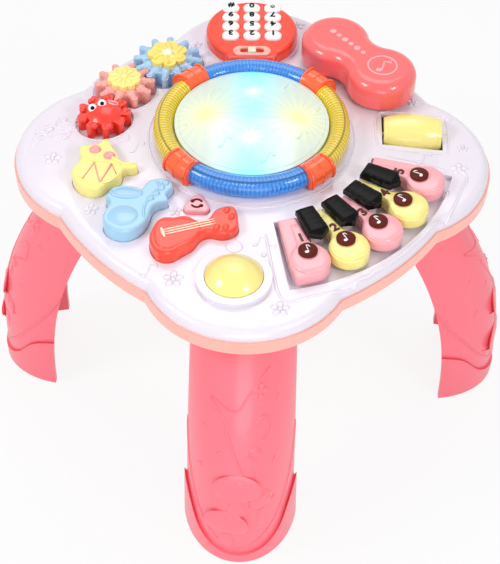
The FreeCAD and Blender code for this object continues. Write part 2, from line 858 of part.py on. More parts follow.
def drum_pad():
    """Translucent dome with a guide skirt that is held under the ring seat."""
    seat_z = crown_z + ring_seat_rise
    rim_z = seat_z + pad_edge_rise
    edge = rim_z + pad_skirt
    skin = seat_z - wall - flange_gap
    guide = pad_bore - button_gap

    outside = rod(pad_radius, rim_z, edge).fuse(crown_cap(pad_radius, edge, pad_dome))
    inner_edge = edge - pad_wall / 2
    inside = rod(pad_radius - pad_wall, rim_z - 1, inner_edge).fuse(
        crown_cap(pad_radius - pad_wall, inner_edge, pad_dome - pad_wall / 2))
    shell = outside.cut(inside)
    tube = rod(guide, skin - flange_thickness, rim_z + 1).cut(
        rod(guide - pad_wall, skin - flange_thickness - 1, rim_z + 2))
    flange = rod(pad_bore + 1.4, skin - flange_thickness, skin).cut(
        rod(guide - pad_wall, skin - flange_thickness - 1, skin + 1))
    plate = rod(pad_radius, rim_z, rim_z + 1.2).cut(rod(guide - pad_wall, rim_z - 1, rim_z + 3))
    return moved(joined([shell, tube, flange, plate]), drum_x, drum_y)


def ring_piece(tube, sweep, start, span):
    """Part of the drum's ring, flat below where it stands on its seat."""
    seat_z = crown_z + ring_seat_rise
    z = seat_z + ring_lift
    circle = Part.Wire([Part.makeCircle(tube, Vector(sweep, 0, z), Vector(0, 1, 0))])
    piece = Part.Face(circle).revolve(Vector(0, 0, 0), Vector(0, 0, 1), span)
    piece = piece.cut(rod(2 * ring_radius, seat_z - 20, seat_z))
    return moved(turned(piece, start), drum_x, drum_y)


# Keypad pieces

def keypad_panel():
    top = keypad_base() + keypad_height
    body = raised(keypad_wire(0.0), keypad_base(), top)
    body = body.makeFillet(2.6, level_edges(body, top))
    room = raised(keypad_wire(-keypad_wall), keypad_base() - 1, top - keypad_wall)
    cuts = [room]
    for x, y in key_centres():
        cuts.append(moved(raised(stadium(keypad_key_length + 2 * button_gap, keypad_key_width + 2 * button_gap),
                                 keypad_base(), top + 1), x, y))
    cuts.append(moved(raised(stadium(slot_length, slot_width), keypad_base(), top + 1), 0, switch_y))
    return keypad_placed(cut_all(body, cuts))


def keypad_key(x, y):
    top = keypad_base() + keypad_height
    crest = top + keypad_key_rise
    skin = top - keypad_wall - flange_gap
    cap = raised(stadium(keypad_key_length, keypad_key_width), skin - flange_thickness, crest)
    cap = cap.makeFillet(2.0, level_edges(cap, crest))
    flange = block(-keypad_key_length / 2 - 0.9, keypad_key_length / 2 + 0.9, 0.6 - keypad_key_width / 2,
                   keypad_key_width / 2 - 0.6, skin - flange_thickness, skin)
    room = raised(keypad_wire(-keypad_wall - joint_gap), skin - flange_thickness - 1, skin + 1)
    flange = moved(flange, x, y).common(room)
    stem = rod(2.2, keypad_board_z() + board_thickness + keypad_key_travel + 0.5, skin - flange_thickness + 0.5)
    return keypad_placed(joined([moved(cap, x, y), flange, moved(stem, x, y)]))


def keypad_board_z():
    return keypad_base() + 0.4


def switch_bezel():
    top = keypad_base() + keypad_height
    plate = raised(stadium(bezel_length, bezel_width), top, top + bezel_rise)
    plate = plate.makeFillet(0.8, level_edges(plate, top + bezel_rise))
    slot = raised(stadium(slot_length, slot_width), top - 1, top + bezel_rise + 1)
    return keypad_placed(moved(plate.cut(slot), 0, switch_y))


def switch_slider():
    top = keypad_base() + keypad_height
    knob = block(-slider_length / 2, slider_length / 2, joint_gap - slot_width / 2, slot_width / 2 - joint_gap,
                 top - keypad_wall - flange_gap - 1.5, top + bezel_rise + slider_rise)
    knob = knob.makeFillet(0.7, level_edges(knob, top + bezel_rise + slider_rise))
    base_half = slider_length / 2 + 2 * slider_travel + 1.5
    base = block(-base_half, base_half, -slot_width / 2 - 1.4, slot_width / 2 + 1.4,
                 top - keypad_wall - flange_gap - 1.5, top - keypad_wall - flange_gap)
    return keypad_placed(moved(joined([knob, base]), 0, switch_y))


# Handset

def handset_wire(grow):
    """Two round ends joined by drawn-in sides."""
    a = Vector(handset_ends[0][0], handset_ends[0][1], 0)
    b = Vector(handset_ends[1][0], handset_ends[1][1], 0)
    half = b.sub(a).Length / 2
    blend = (half ** 2 + handset_waist ** 2 - handset_radius ** 2) / (2 * (handset_radius - handset_waist))
    along = b.sub(a).multiply(0.5 / half)
    across = Vector(-along.y, along.x, 0)
    centre = (a + b).multiply(0.5)
    reach = handset_waist + blend
    radius = handset_radius + grow
    edges = []
    for side in (1, -1):
        pivot = centre + Vector(across).multiply(side * reach)
        start = toward(a, pivot, radius)
        end = toward(b, pivot, radius)
        waist = centre + Vector(across).multiply(side * (handset_waist + grow))
        edges.append(Part.Arc(start, waist, end).toShape())
    for end, way in ((a, -1), (b, 1)):
        tips = [toward(end, centre + Vector(across).multiply(side * reach), radius) for side in (1, -1)]
        edges.append(Part.Arc(tips[0], end + Vector(along).multiply(way * radius), tips[1]).toShape())
    return Part.Wire(Part.__sortEdges__(edges))


def handset_shell(low, high, round_z, round_size):
    body = raised(handset_wire(0.0), low, high)
    body = body.makeFillet(round_size, level_edges(body, round_z))
    return body


def handset_lower():
    base = handset_base()
    split = base + handset_split
    body = handset_shell(base, split, base, 3.0)
    room = raised(handset_wire(-handset_wall), base + handset_wall, split + 1)
    sockets = [rod(cradle_boss_radius + 0.6, base - 1, base + cradle_boss_height + 0.5, x, y)
               for x, y in handset_ends]
    cups = [rod(cradle_boss_radius + 2.6, base + handset_wall - 0.2, base + cradle_boss_height + 2.5, x, y)
            for x, y in handset_ends]
    return cut_all(joined([cut_all(body, [room])] + cups), sockets)


def handset_upper():
    split = handset_base() + handset_split
    top = handset_base() + handset_height
    body = handset_shell(split, top, top, handset_round)
    room = raised(handset_wire(-handset_wall), split - 1, top - handset_wall)
    room = room.makeFillet(handset_round - handset_wall, level_edges(room, top - handset_wall))
    return cut_all(body, [room])


# Gears

def gear_wire(index, phase):
    """Rounded petals round a hub, drawn at the origin, with one petal along the phase angle."""
    teeth = gear_teeth[index]
    tip = gear_tips[index]
    mates = [j for j in (index - 1, index + 1) if 0 <= j < len(gear_teeth)]
    root = min(gear_module * (teeth + gear_teeth[j]) / 2 - gear_tips[j] - root_gap for j in mates)
    edges = []
    half_angle = math.degrees(math.asin(tooth_half_width / root))
    pitch = 360.0 / teeth
    foot = math.sqrt(root ** 2 - tooth_half_width ** 2)
    for k in range(teeth):
        angle = phase + k * pitch
        along = polar(1, angle)
        across = Vector(-along.y, along.x, 0)
        foot_low = Vector(along).multiply(foot) - Vector(across).multiply(tooth_half_width)
        foot_high = Vector(along).multiply(foot) + Vector(across).multiply(tooth_half_width)
        crest = tip - tooth_half_width
        crest_low = Vector(along).multiply(crest) - Vector(across).multiply(tooth_half_width)
        crest_high = Vector(along).multiply(crest) + Vector(across).multiply(tooth_half_width)
        edges.append(Part.LineSegment(foot_low, crest_low).toShape())
        edges.append(Part.Arc(crest_low, Vector(along).multiply(tip), crest_high).toShape())
        edges.append(Part.LineSegment(crest_high, foot_high).toShape())
        edges.append(Part.Arc(foot_high, polar(root, angle + pitch / 2),
                              polar(root, angle + pitch - half_angle)).toShape())
    return Part.Wire(edges)


def gear_phases():
    """A petal of the middle gear points halfway between two petals of each neighbour."""
    blue_pitch = 360.0 / gear_teeth[0]
    red_pitch = 360.0 / gear_teeth[2]
    pink = blue_direction
    blue = blue_direction + 180 + blue_pitch / 2
    pink_pitch = 360.0 / gear_teeth[1]
    lead = ((pink - red_direction) / pink_pitch) % 1.0
    red = red_direction + 180 + red_pitch / 2 - lead * red_pitch
    return [blue, pink, red]


def gear(index):
    place = gear_places()[index]
    low = gear_base() + gear_lift
    high = low + gear_thickness
    body = raised(gear_wire(index, gear_phases()[index]), low, high)
    pocket = rod(washer_radius + 0.4, high - 2.6, high + 1)
    bore = rod(post_radius + run_gap, low - 1, high + 1)
    body = cut_all(body, [pocket, bore])
    return moved(body, place.x, place.y)


def gear_cap(index, radius, petals, depth):
    """Flower cap that snaps over the screw in the middle of a gear."""
    place = gear_places()[index]
    low = gear_base() + gear_lift + gear_thickness
    edges = []
    pitch = 360.0 / petals
    for k in range(petals):
        a = polar(radius - depth, k * pitch)
        b = polar(radius, (k + 0.5) * pitch)
        c = polar(radius - depth, (k + 1) * pitch)
        edges.append(Part.Arc(a, b, c).toShape())
    body = raised(Part.Wire(edges), low, low + cap_height)
    collar = rod(washer_radius + 0.3, low - 1.2, low + 0.2).cut(rod(washer_radius - 0.9, low - 2, low + 0.2))
    return moved(joined([body, collar]), place.x, place.y)


def animal_gear():
    """Red disc with bumps as gear teeth and a low domed back that also covers its screw."""
    place = gear_places()[2]
    low = gear_base() + gear_lift
    high = low + gear_thickness
    body = raised(gear_wire(2, gear_phases()[2]), low, high)
    dome_radius_here = 12.6
    sphere_r = (dome_radius_here ** 2 + cap_height ** 2) / (2 * cap_height)
    dome = Part.makeSphere(sphere_r, Vector(0, 0, high + cap_height - sphere_r)).common(
        rod(dome_radius_here, high - 0.5, high + cap_height + 1))
    room = rod(washer_radius + 0.4, high - 2.6, high + 0.6)
    bore = rod(post_radius + run_gap, low - 1, high)
    return moved(cut_all(joined([body, dome]), [room, bore]), place.x, place.y)


def gear_screws():
    """Pan-head screws with washers that keep the gears on their posts."""
    screws = []
    base = gear_base() + gear_lift + gear_thickness - 2.6
    for place in gear_places():
        head = rod(washer_radius, base, base + 0.8, place.x, place.y)
        pan = rod(screw_head, base + 0.8, base + 2.2, place.x, place.y)
        shank = rod(screw_radius, base - 8.0, base + 0.4, place.x, place.y)
        screws.append(joined([head, pan, shank]))
    return Part.Compound(screws)


# Piano keys

def key_wire(end_side, square_corner):
    """White key along +X from the fan's centre. end_side is -1 or +1 for the keys at the row's ends."""
    offset = math.sqrt(paddle_radius ** 2 - (paddle_centre - key_join) ** 2)
    side_edges = {}
    for side in (-1, 1):
        back = Vector(key_back, side * neck_back_half, 0)
        neck = Vector(key_neck_end, side * neck_front_half, 0)
        join = Vector(key_join, side * offset, 0)
        if side == end_side:
            wide = math.tan(math.radians(piano_pitch / 2)) * 0.93
            back = Vector(key_back, side * key_back * wide, 0)
            front = Vector(paddle_centre, side * paddle_radius, 0)
            chain = [Part.LineSegment(back, front).toShape()]
            if square_corner:
                corner = Vector(paddle_centre + paddle_radius - 3.0, side * paddle_radius, 0)
                nose = Vector(paddle_centre + paddle_radius, side * (paddle_radius - 3.0), 0)
                bend = Vector(corner.x + 2.1, side * (paddle_radius - 0.9), 0)
                chain.append(Part.LineSegment(front, corner).toShape())
                chain.append(Part.Arc(corner, bend, nose).toShape())
                chain.append(Part.LineSegment(nose, Vector(nose.x, 0, 0)).toShape())
                front = None
            side_edges[side] = (back, chain, front)
        else:
            middle = Vector((neck.x + join.x) / 2 + 1.2, (neck.y + join.y) / 2 - side * 0.9, 0)
            chain = [Part.LineSegment(back, neck).toShape(), Part.Arc(neck, middle, join).toShape()]
            side_edges[side] = (back, chain, join)
    edges = side_edges[-1][1] + side_edges[1][1]
    edges.append(Part.LineSegment(side_edges[-1][0], side_edges[1][0]).toShape())
    nose = Vector(paddle_centre + paddle_radius, 0, 0)
    slant = Vector(paddle_centre, 0, 0)
    for side in (-1, 1):
        start = side_edges[side][2]
        if start is None:
            continue
        angle_from = math.degrees(math.atan2(start.y, start.x - paddle_centre))
        bend = slant + polar(paddle_radius, angle_from / 2)
        edges.append(Part.Arc(start, bend, nose).toShape())
    return Part.Wire(Part.__sortEdges__(edges))


def piano_key(index):
    """White key on its pin, with a stem that reaches down to its contact."""
    low = key_bottom()
    high = low + key_thickness
    end_side = {0: -1, piano_count - 1: 1}.get(index, 0)
    body = raised(key_wire(end_side, index == 0), low, high)
    body = body.makeFillet(1.6, level_edges(body, high))
    knuckle_half = neck_back_half - 0.2
    knuckle = block(key_pin_reach - 2.4, key_pin_reach + 2.4, -knuckle_half, knuckle_half, key_pin_z() - 2.4,
                    low + 0.5)
    body = joined([body, knuckle])
    bore = Part.makeCylinder(key_pin_radius + run_gap, 40, Vector(key_pin_reach, -20, key_pin_z()),
                             Vector(0, 1, 0))
    body = moved(turned(body.cut(bore), key_angles()[index]), drum_x, drum_y)
    if end_side:
        body = body.cut(end_lug(key_angles()[index], end_side, 0.5))
    return body


def black_keys():
    """Fixed black keys on the ridges between the white ones."""
    solids = []
    low = key_bottom() + key_thickness - 1.0
    high = low + black_height
    points = [(black_back, -black_back_half), (black_front, -black_front_half), (black_tip, 0),
              (black_front, black_front_half), (black_back, black_back_half)]
    for angle in black_angles():
        body = raised(loop(points), low + 1.4, high)
        body = body.makeFillet(1.5, level_edges(body, high))
        foot = block(black_back + 0.5, black_front - 1.5, -ridge_half, ridge_half, low, low + 1.5)
        solids.append(moved(turned(joined([body, foot]), angle), drum_x, drum_y))
    return Part.Compound(solids)


# Other buttons

def dome_button():
    skin = crown_at(math.hypot(dome_x, dome_y) + dome_radius + flange_grow, 0) - wall
    rim = crown_at(dome_x, dome_y) + dome_rim_rise
    sphere_r = (dome_radius ** 2 + dome_height ** 2) / (2 * dome_height)
    low = skin - flange_gap - flange_thickness
    body = rod(dome_radius, low, rim + 0.5)
    dome = Part.makeSphere(sphere_r, Vector(0, 0, rim + 0.5 + dome_height - sphere_r)).common(
        rod(dome_radius, rim, rim + dome_height + 2))
    flange = rod(dome_radius + flange_grow, low, low + flange_thickness)
    room = rod(dome_radius - wall, low - 1, rim - 0.6)
    return moved(cut_all(joined([body, dome, flange]), [room]), dome_x, dome_y)


def mode_button():
    skin = crown_at(math.hypot(mode_x, mode_y) + mode_reach + 2.0, 0) - wall
    low = skin - flange_gap - flange_thickness
    top = crown_at(mode_x, mode_y) + 3.2
    body = raised(mode_wire(0.0), low, top)
    body = body.makeFillet(1.6, level_edges(body, top))
    flange = raised(mode_wire(flange_grow), low, low + flange_thickness)
    return moved(joined([body, flange]), mode_x, mode_y)


# Roller

def roller():
    z = roller_axis_z()
    half = roller_length / 2
    profile = [Part.LineSegment(Vector(-half, 0, 0), Vector(-half, roller_end, 0)).toShape(),
               Part.Arc(Vector(-half, roller_end, 0), Vector(0, roller_middle, 0),
                        Vector(half, roller_end, 0)).toShape(),
               Part.LineSegment(Vector(half, roller_end, 0), Vector(half, 0, 0)).toShape(),
               Part.LineSegment(Vector(half, 0, 0), Vector(-half, 0, 0)).toShape()]
    body = Part.Face(Part.Wire(profile)).revolve(Vector(0, 0, 0), Vector(1, 0, 0), 360)
    bore = Part.makeCylinder(axle_radius + run_gap, roller_length + 2, Vector(-half - 1, 0, 0), Vector(1, 0, 0))
    return moved(body.cut(bore), roller_x, roller_y, z)


def roller_axle():
    length = roller_length + 2 * (roller_gap + wall)
    return Part.makeCylinder(axle_radius, length, Vector(roller_x - length / 2, roller_y, roller_axis_z()),
                             Vector(1, 0, 0))


# Inner pieces

def circuit_board():
    z = leg_height + board_rise
    plate = rod(board_radius, z, z + board_thickness, drum_x, drum_y)
    holes = []
    for k in range(4):
        place = polar(post_ring, 90.0 * k + 45)
        holes.append(rod(screw_radius + 0.2, z - 1, z + board_thickness + 1, drum_x + place.x, drum_y + place.y))
    return cut_all(plate, holes)


def lamp_set():
    z = leg_height + board_rise + board_thickness
    lamps = []
    for k in range(4):
        place = polar(lamp_ring, 90.0 * k)
        x, y = drum_x + place.x, drum_y + place.y
        stem = rod(lamp_radius, z, z + lamp_height - lamp_radius, x, y)
        tip = Part.makeSphere(lamp_radius, Vector(x, y, z + lamp_height - lamp_radius))
        lamps.append(joined([stem, tip]))
    return Part.Compound(lamps)


def keypad_board():
    """Small board below the keys, on the keypad's rim."""
    z = keypad_board_z()
    plate = raised(keypad_wire(-keypad_wall - joint_gap), z, z + board_thickness)
    return keypad_placed(plate)


def speaker():
    low = leg_height + wall
    frame = rod(speaker_radius, low, low + 2.5, 0, speaker_y)
    magnet = rod(speaker_radius * 0.55, low + 2.5, low + speaker_height, 0, speaker_y)
    return joined([frame, magnet])


def case_screws():
    screws = []
    head_top = leg_height + 12
    for x, y in case_screw_places():
        head = rod(screw_head, head_top - screw_head_height, head_top, x, y)
        shank = rod(screw_radius, head_top - 0.1, edge_z + case_screw_grip, x, y)
        screws.append(joined([head, shank]))
    return Part.Compound(screws)


def leg_screws():
    screws = []
    under = leg_height - leg_top_plate
    for quarter in range(4):
        for x, y in leg_screw_places():
            head = rod(screw_head, under - screw_head_height, under, x, y)
            shank = rod(screw_radius, under - 0.1, leg_height + tongue_height - 2.2, x, y)
            screws.append(turned(joined([head, shank]), 90.0 * quarter))
    return Part.Compound(screws)


def board_screws():
    screws = []
    top = leg_height + board_rise + board_thickness
    for k in range(4):
        place = polar(post_ring, 90.0 * k + 45)
        x, y = drum_x + place.x, drum_y + place.y
        head = rod(screw_head - 0.4, top, top + 1.6, x, y)
        shank = rod(screw_radius, top - 8.0, top + 0.1, x, y)
        screws.append(joined([head, shank]))
    return Part.Compound(screws)


def write_all():
    save(top_cover(), "top_cover")
    save(bottom_housing(), "bottom_housing")
    save(battery_door(), "battery_door")
    save(battery_cells(), "battery_cells")
    one_leg = leg()
    for name, angle in (("leg_right", 0), ("leg_back", 90), ("leg_left", 180), ("leg_front", 270)):
        save(turned(one_leg, angle), name)
    save(leg_screws(), "leg_screws")
    save(Part.Compound(case_screws().Solids + board_screws().Solids), "case_screws")
    save(drum_pad(), "drum_pad")
    span = 90.0 - 2 * clamp_half_angle
    for name, middle in (("ring_front_blue", 270), ("ring_right_yellow", 0), ("ring_back_blue", 90),
                         ("ring_left_yellow", 180)):
        save(ring_piece(ring_tube, ring_radius, middle - span / 2, span), name)
    for name, middle in (("ring_clamp_front_right", 315), ("ring_clamp_back_right", 45),
                         ("ring_clamp_back_left", 135), ("ring_clamp_front_left", 225)):
        save(ring_piece(clamp_tube, clamp_ring_radius, middle - clamp_half_angle, 2 * clamp_half_angle), name)
    save(keypad_panel(), "keypad_panel")
    names = ["3", "2", "1", "6", "5", "4", "9", "8", "7", "hash", "0", "star"]
    for name, (x, y) in zip(names, key_centres()):
        save(keypad_key(x, y), "keypad_key_" + name)
    save(keypad_board(), "keypad_board")
    save(switch_bezel(), "switch_bezel")
    save(switch_slider(), "switch_slider")
    save(handset_lower(), "handset_lower_shell")
    save(handset_upper(), "handset_upper_shell")
    save(gear(0), "blue_flower_gear")
    save(gear_cap(0, 15.0, 7, 4.5), "pinwheel_cap")
    save(gear(1), "pink_flower_gear")
    save(gear_cap(1, 12.4, 10, 2.0), "daisy_cap")
    save(animal_gear(), "red_animal_gear")
    save(gear_screws(), "gear_screws")
    for index in range(piano_count):
        save(piano_key(index), "piano_key_" + str(index + 1))
    save(Part.Compound([key_pin(angle) for angle in key_angles()]), "key_pivot_pins")
    save(black_keys(), "black_keys")
    for name, points, rise in instruments():
        top = max(crown_at(x, y) for x, y in points) + rise
        save(pressed_cap(points, top), name)
    save(mode_button(), "mode_button")
    save(dome_button(), "dome_button")
    save(roller(), "roller")
    save(roller_axle(), "roller_axle")
    save(circuit_board(), "circuit_board")
    save(lamp_set(), "led_lamps")
    save(speaker(), "speaker")


write_all()
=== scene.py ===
"""Looks of the musical activity table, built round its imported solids."""
import json
import logging
import math
from dataclasses import dataclass, field
from enum import Enum

import bpy
from mathutils import Matrix, Vector
from mathutils.bvhtree import BVHTree

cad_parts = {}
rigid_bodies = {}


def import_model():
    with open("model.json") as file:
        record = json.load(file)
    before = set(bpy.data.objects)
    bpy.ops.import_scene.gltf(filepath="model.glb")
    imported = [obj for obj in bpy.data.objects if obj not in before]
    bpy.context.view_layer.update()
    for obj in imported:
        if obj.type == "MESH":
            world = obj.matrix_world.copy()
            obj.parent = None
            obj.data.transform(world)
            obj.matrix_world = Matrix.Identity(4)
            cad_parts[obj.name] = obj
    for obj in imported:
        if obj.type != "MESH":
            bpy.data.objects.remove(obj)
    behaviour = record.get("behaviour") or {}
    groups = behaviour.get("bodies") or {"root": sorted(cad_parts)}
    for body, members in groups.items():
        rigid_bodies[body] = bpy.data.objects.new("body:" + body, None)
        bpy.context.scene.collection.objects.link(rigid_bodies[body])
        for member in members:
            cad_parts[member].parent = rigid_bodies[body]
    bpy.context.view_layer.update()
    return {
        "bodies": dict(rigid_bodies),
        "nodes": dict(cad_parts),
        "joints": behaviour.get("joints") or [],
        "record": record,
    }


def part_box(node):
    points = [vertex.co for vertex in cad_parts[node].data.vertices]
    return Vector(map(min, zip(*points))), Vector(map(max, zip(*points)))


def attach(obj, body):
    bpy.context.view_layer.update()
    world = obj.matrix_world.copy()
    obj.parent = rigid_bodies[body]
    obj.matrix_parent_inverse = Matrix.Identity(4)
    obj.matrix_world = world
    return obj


LOG = logging.getLogger("activity_table")
MM = 0.001
UP = Vector((0, 0, 1))
Point2 = tuple[float, float]
DRUM_CENTRE: Point2 = (-0.8, 12.0)
RAY_HEIGHT = 400.0
OPENING_DEPTH = 16.0
PHONE_KEYS = ("3", "2", "1", "6", "5", "4", "9", "8", "7", "hash", "0", "star")


@dataclass(frozen=True)
class GearSpot:
    """Where a gear turns and how far its teeth reach, in millimetres."""

    x: float
    y: float
    tip: float


BLUE_SPOT = GearSpot(-66.78, 88.51, 25.8)
PINK_SPOT = GearSpot(-96.1, 59.5, 22.2)
RED_SPOT = GearSpot(-107.64, 25.8, 19.4)
GEAR_SPOTS = (BLUE_SPOT, PINK_SPOT, RED_SPOT)


class Ink(Enum):
    """Colours of the moulded plastics and prints, as screen values."""

    COVER = (232, 225, 236)
    BAND = (255, 180, 166)
    LEG = (255, 118, 134)
    MILKY = (212, 228, 222)
    RING_BLUE = (25, 145, 245)
    RING_YELLOW = (255, 222, 10)
    CLAMP = (255, 96, 38)
    PANEL = (248, 66, 34)
    PALE_YELLOW = (250, 236, 140)
    PALE_PINK = (250, 172, 180)
    HANDSET = (252, 104, 104)
    FLOWER_BLUE = (166, 204, 236)
    FLOWER_PINK = (244, 168, 160)
    CREATURE = (242, 52, 34)
    SUN = (252, 226, 110)
    GLOSS_BLACK = (9, 7, 8)
    GUITAR = (248, 72, 44)
    SAX = (160, 206, 236)
    BROWN = (92, 26, 14)
    CREAM = (248, 238, 214)
    WHITE = (250, 250, 250)
    STEEL = (150, 150, 152)
    BOARD = (30, 90, 60)
    SLEEVE = (70, 90, 110)
    PINK_PRINT = (244, 160, 165)


def linear(ink: Ink) -> tuple[float, float, float, float]:
    """Linear colour of an ink.

    Args:
        ink: the ink.

    Returns:
        Red, green, blue and full alpha.
    """
    shares = [v / 255 for v in ink.value]
    flat = [s / 12.92 if s <= 0.04045 else ((s + 0.055) / 1.055) ** 2.4 for s in shares]
    return (flat[0], flat[1], flat[2], 1.0)


class GroupMaker:
    """Helps to wire a shader node group from maths steps."""

    def __init__(self, name: str, inputs: dict[str, float], outputs: dict[str, str]) -> None:
        """Starts a group.

        Args:
            name: the group's name.
            inputs: float inputs and their defaults.
            outputs: outputs and their socket types.
        """
        self.tree = bpy.data.node_groups.new(name, "ShaderNodeTree")
        for key, value in inputs.items():
            socket = self.tree.interface.new_socket(key, in_out="INPUT", socket_type="NodeSocketFloat")
            socket.default_value = value
        for key, kind in outputs.items():
            self.tree.interface.new_socket(key, in_out="OUTPUT", socket_type=kind)
        self.start = self.tree.nodes.new("NodeGroupInput")
        self.end = self.tree.nodes.new("NodeGroupOutput")
        self.place = self.tree.nodes.new("ShaderNodeTexCoord").outputs["Object"]

    def join(self, value: object, socket: object) -> None:
        """Feeds a socket with a number or another socket.

        Args:
            value: number or output socket.
            socket: the input socket.
        """
        if isinstance(value, (int, float)):
            socket.default_value = value
        else:
            self.tree.links.new(value, socket)

    def math(self, step: str, a: object, b: object = 0.0, c: object = 0.0) -> object:
        """One maths node.

        Args:
            step: operation name.
            a: first value.
            b: second value.
            c: third value.

        Returns:
            The result socket.
        """
        node = self.tree.nodes.new("ShaderNodeMath")
        node.operation = step
        for value, socket in zip((a, b, c), node.inputs):
            self.join(value, socket)
        return node.outputs[0]

    def noise(self, scale: object, detail: float = 4.0) -> object:
        """Noise over the object.

        Args:
            scale: noise scale.
            detail: octaves.

        Returns:
            The factor socket.
        """
        node = self.tree.nodes.new("ShaderNodeTexNoise")
        node.inputs["Detail"].default_value = detail
        self.join(scale, node.inputs["Scale"])
        self.tree.links.new(self.place, node.inputs["Vector"])
        return node.outputs[0]

    def axes(self) -> object:
        """Separated object coordinates.

        Returns:
            The outputs X, Y and Z.
        """
        node = self.tree.nodes.new("ShaderNodeSeparateXYZ")
        self.tree.links.new(self.place, node.inputs[0])
        return node.outputs

    def give(self, key: str, value: object) -> None:
        """Connects one of the group's outputs.

        Args:
            key: output name.
            value: socket that feeds it.
        """
        self.tree.links.new(value, self.end.inputs[key])


def moulded_group() -> bpy.types.NodeTree:
    """Moulded plastic: cloudy tone, fine skin, rubbed edges and dull handling marks.

    Returns:
        The node group.
    """
    g = GroupMaker("MouldedSkin", {"Cloud Scale": 30.0, "Skin Scale": 1400.0, "Dulling": 0.1},
                   {"Tone": "NodeSocketFloat", "Edge": "NodeSocketFloat", "Gloss": "NodeSocketFloat",
                    "Height": "NodeSocketFloat"})
    cloud = g.noise(g.start.outputs["Cloud Scale"], 3.0)
    skin = g.noise(g.start.outputs["Skin Scale"], 2.0)
    marks = g.noise(g.math("MULTIPLY", g.start.outputs["Cloud Scale"], 4.0), 6.0)
    geometry = g.tree.nodes.new("ShaderNodeNewGeometry")
    rim = g.math("MULTIPLY", g.math("SUBTRACT", geometry.outputs["Pointiness"], 0.57), 6.0)
    rim.node.use_clamp = True
    worn = g.math("MULTIPLY", rim, g.math("GREATER_THAN", marks, 0.45))
    g.give("Tone", cloud)
    g.give("Edge", worn)
    g.give("Gloss", g.math("MULTIPLY", g.math("SUBTRACT", marks, 0.4), g.start.outputs["Dulling"]))
    g.give("Height", g.math("ADD", g.math("MULTIPLY", skin, 0.5), g.math("MULTIPLY", cloud, 0.5)))
    return g.tree


def rib_group() -> bpy.types.NodeTree:
    """Fine ribs that run out from the drum's centre, for the light tubes.

    Returns:
        The node group.
    """
    g = GroupMaker("RadialRibs", {"Centre X": -0.0008, "Centre Y": 0.012, "Count": 150.0},
                   {"Rib": "NodeSocketFloat", "Line": "NodeSocketFloat"})
    axes = g.axes()
    across = g.math("SUBTRACT", axes[0], g.start.outputs["Centre X"])
    along = g.math("SUBTRACT", axes[1], g.start.outputs["Centre Y"])
    turn = g.math("ARCTAN2", along, across)
    wave = g.math("SINE", g.math("MULTIPLY", turn, g.start.outputs["Count"]))
    share = g.math("MULTIPLY_ADD", wave, 0.5, 0.5)
    reach = g.math("SQRT", g.math("ADD", g.math("POWER", across, 2.0), g.math("POWER", along, 2.0)))
    seam = g.math("LESS_THAN", g.math("ABSOLUTE", g.math("SUBTRACT", reach, 0.0655)), 0.0006)
    g.give("Rib", share)
    g.give("Line", seam)
    return g.tree


def lamp_glow_group() -> bpy.types.NodeTree:
    """Glow of the lamps under the milky pad: a cool band, two warm halos and fine rays.

    Returns:
        The node group.
    """
    g = GroupMaker("LampGlow", {"Centre X": -0.0008, "Centre Y": 0.012},
                   {"Glow": "NodeSocketFloat", "Star": "NodeSocketFloat", "Warm": "NodeSocketFloat"})
    axes = g.axes()
    stars: list[object] = []
    halos: list[object] = []
    away = g.math("SUBTRACT", axes[0], g.start.outputs["Centre X"])
    band = g.math("EXPONENT", g.math("MULTIPLY", g.math("POWER", g.math("DIVIDE", away, 0.017), 2.0), -1.0))
    for dx, dy, rays, reach in ((0.033, 0.0, 22.0, 0.015), (-0.033, 0.0, 22.0, 0.015),
                                (0.0, 0.024, 10.0, 0.006),
                                (0.0, -0.024, 10.0, 0.006)):
        u = g.math("SUBTRACT", away, dx)
        v = g.math("SUBTRACT", g.math("SUBTRACT", axes[1], g.start.outputs["Centre Y"]), dy)
        far = g.math("SQRT", g.math("ADD", g.math("POWER", u, 2.0), g.math("POWER", v, 2.0)))
        turn = g.math("ARCTAN2", v, u)
        ray = g.math("MULTIPLY_ADD", g.math("SINE", g.math("MULTIPLY", turn, rays)), 0.5, 0.5)
        core = g.math("EXPONENT", g.math("MULTIPLY", far, -330.0))
        spread = g.math("EXPONENT", g.math("MULTIPLY", far, -1.0 / reach))
        (halos if dx else stars).append(g.math("MULTIPLY_ADD", spread,
                                               g.math("MULTIPLY_ADD", ray, 0.45, 0.55), core))
    g.give("Star", g.math("MINIMUM", g.math("ADD", stars[0], stars[1]), 1.0))
    g.give("Glow", g.math("MINIMUM", band, 1.0))
    g.give("Warm", g.math("MINIMUM", g.math("ADD", halos[0], halos[1]), 1.0))
    return g.tree


GROUPS: dict[str, bpy.types.NodeTree] = {}


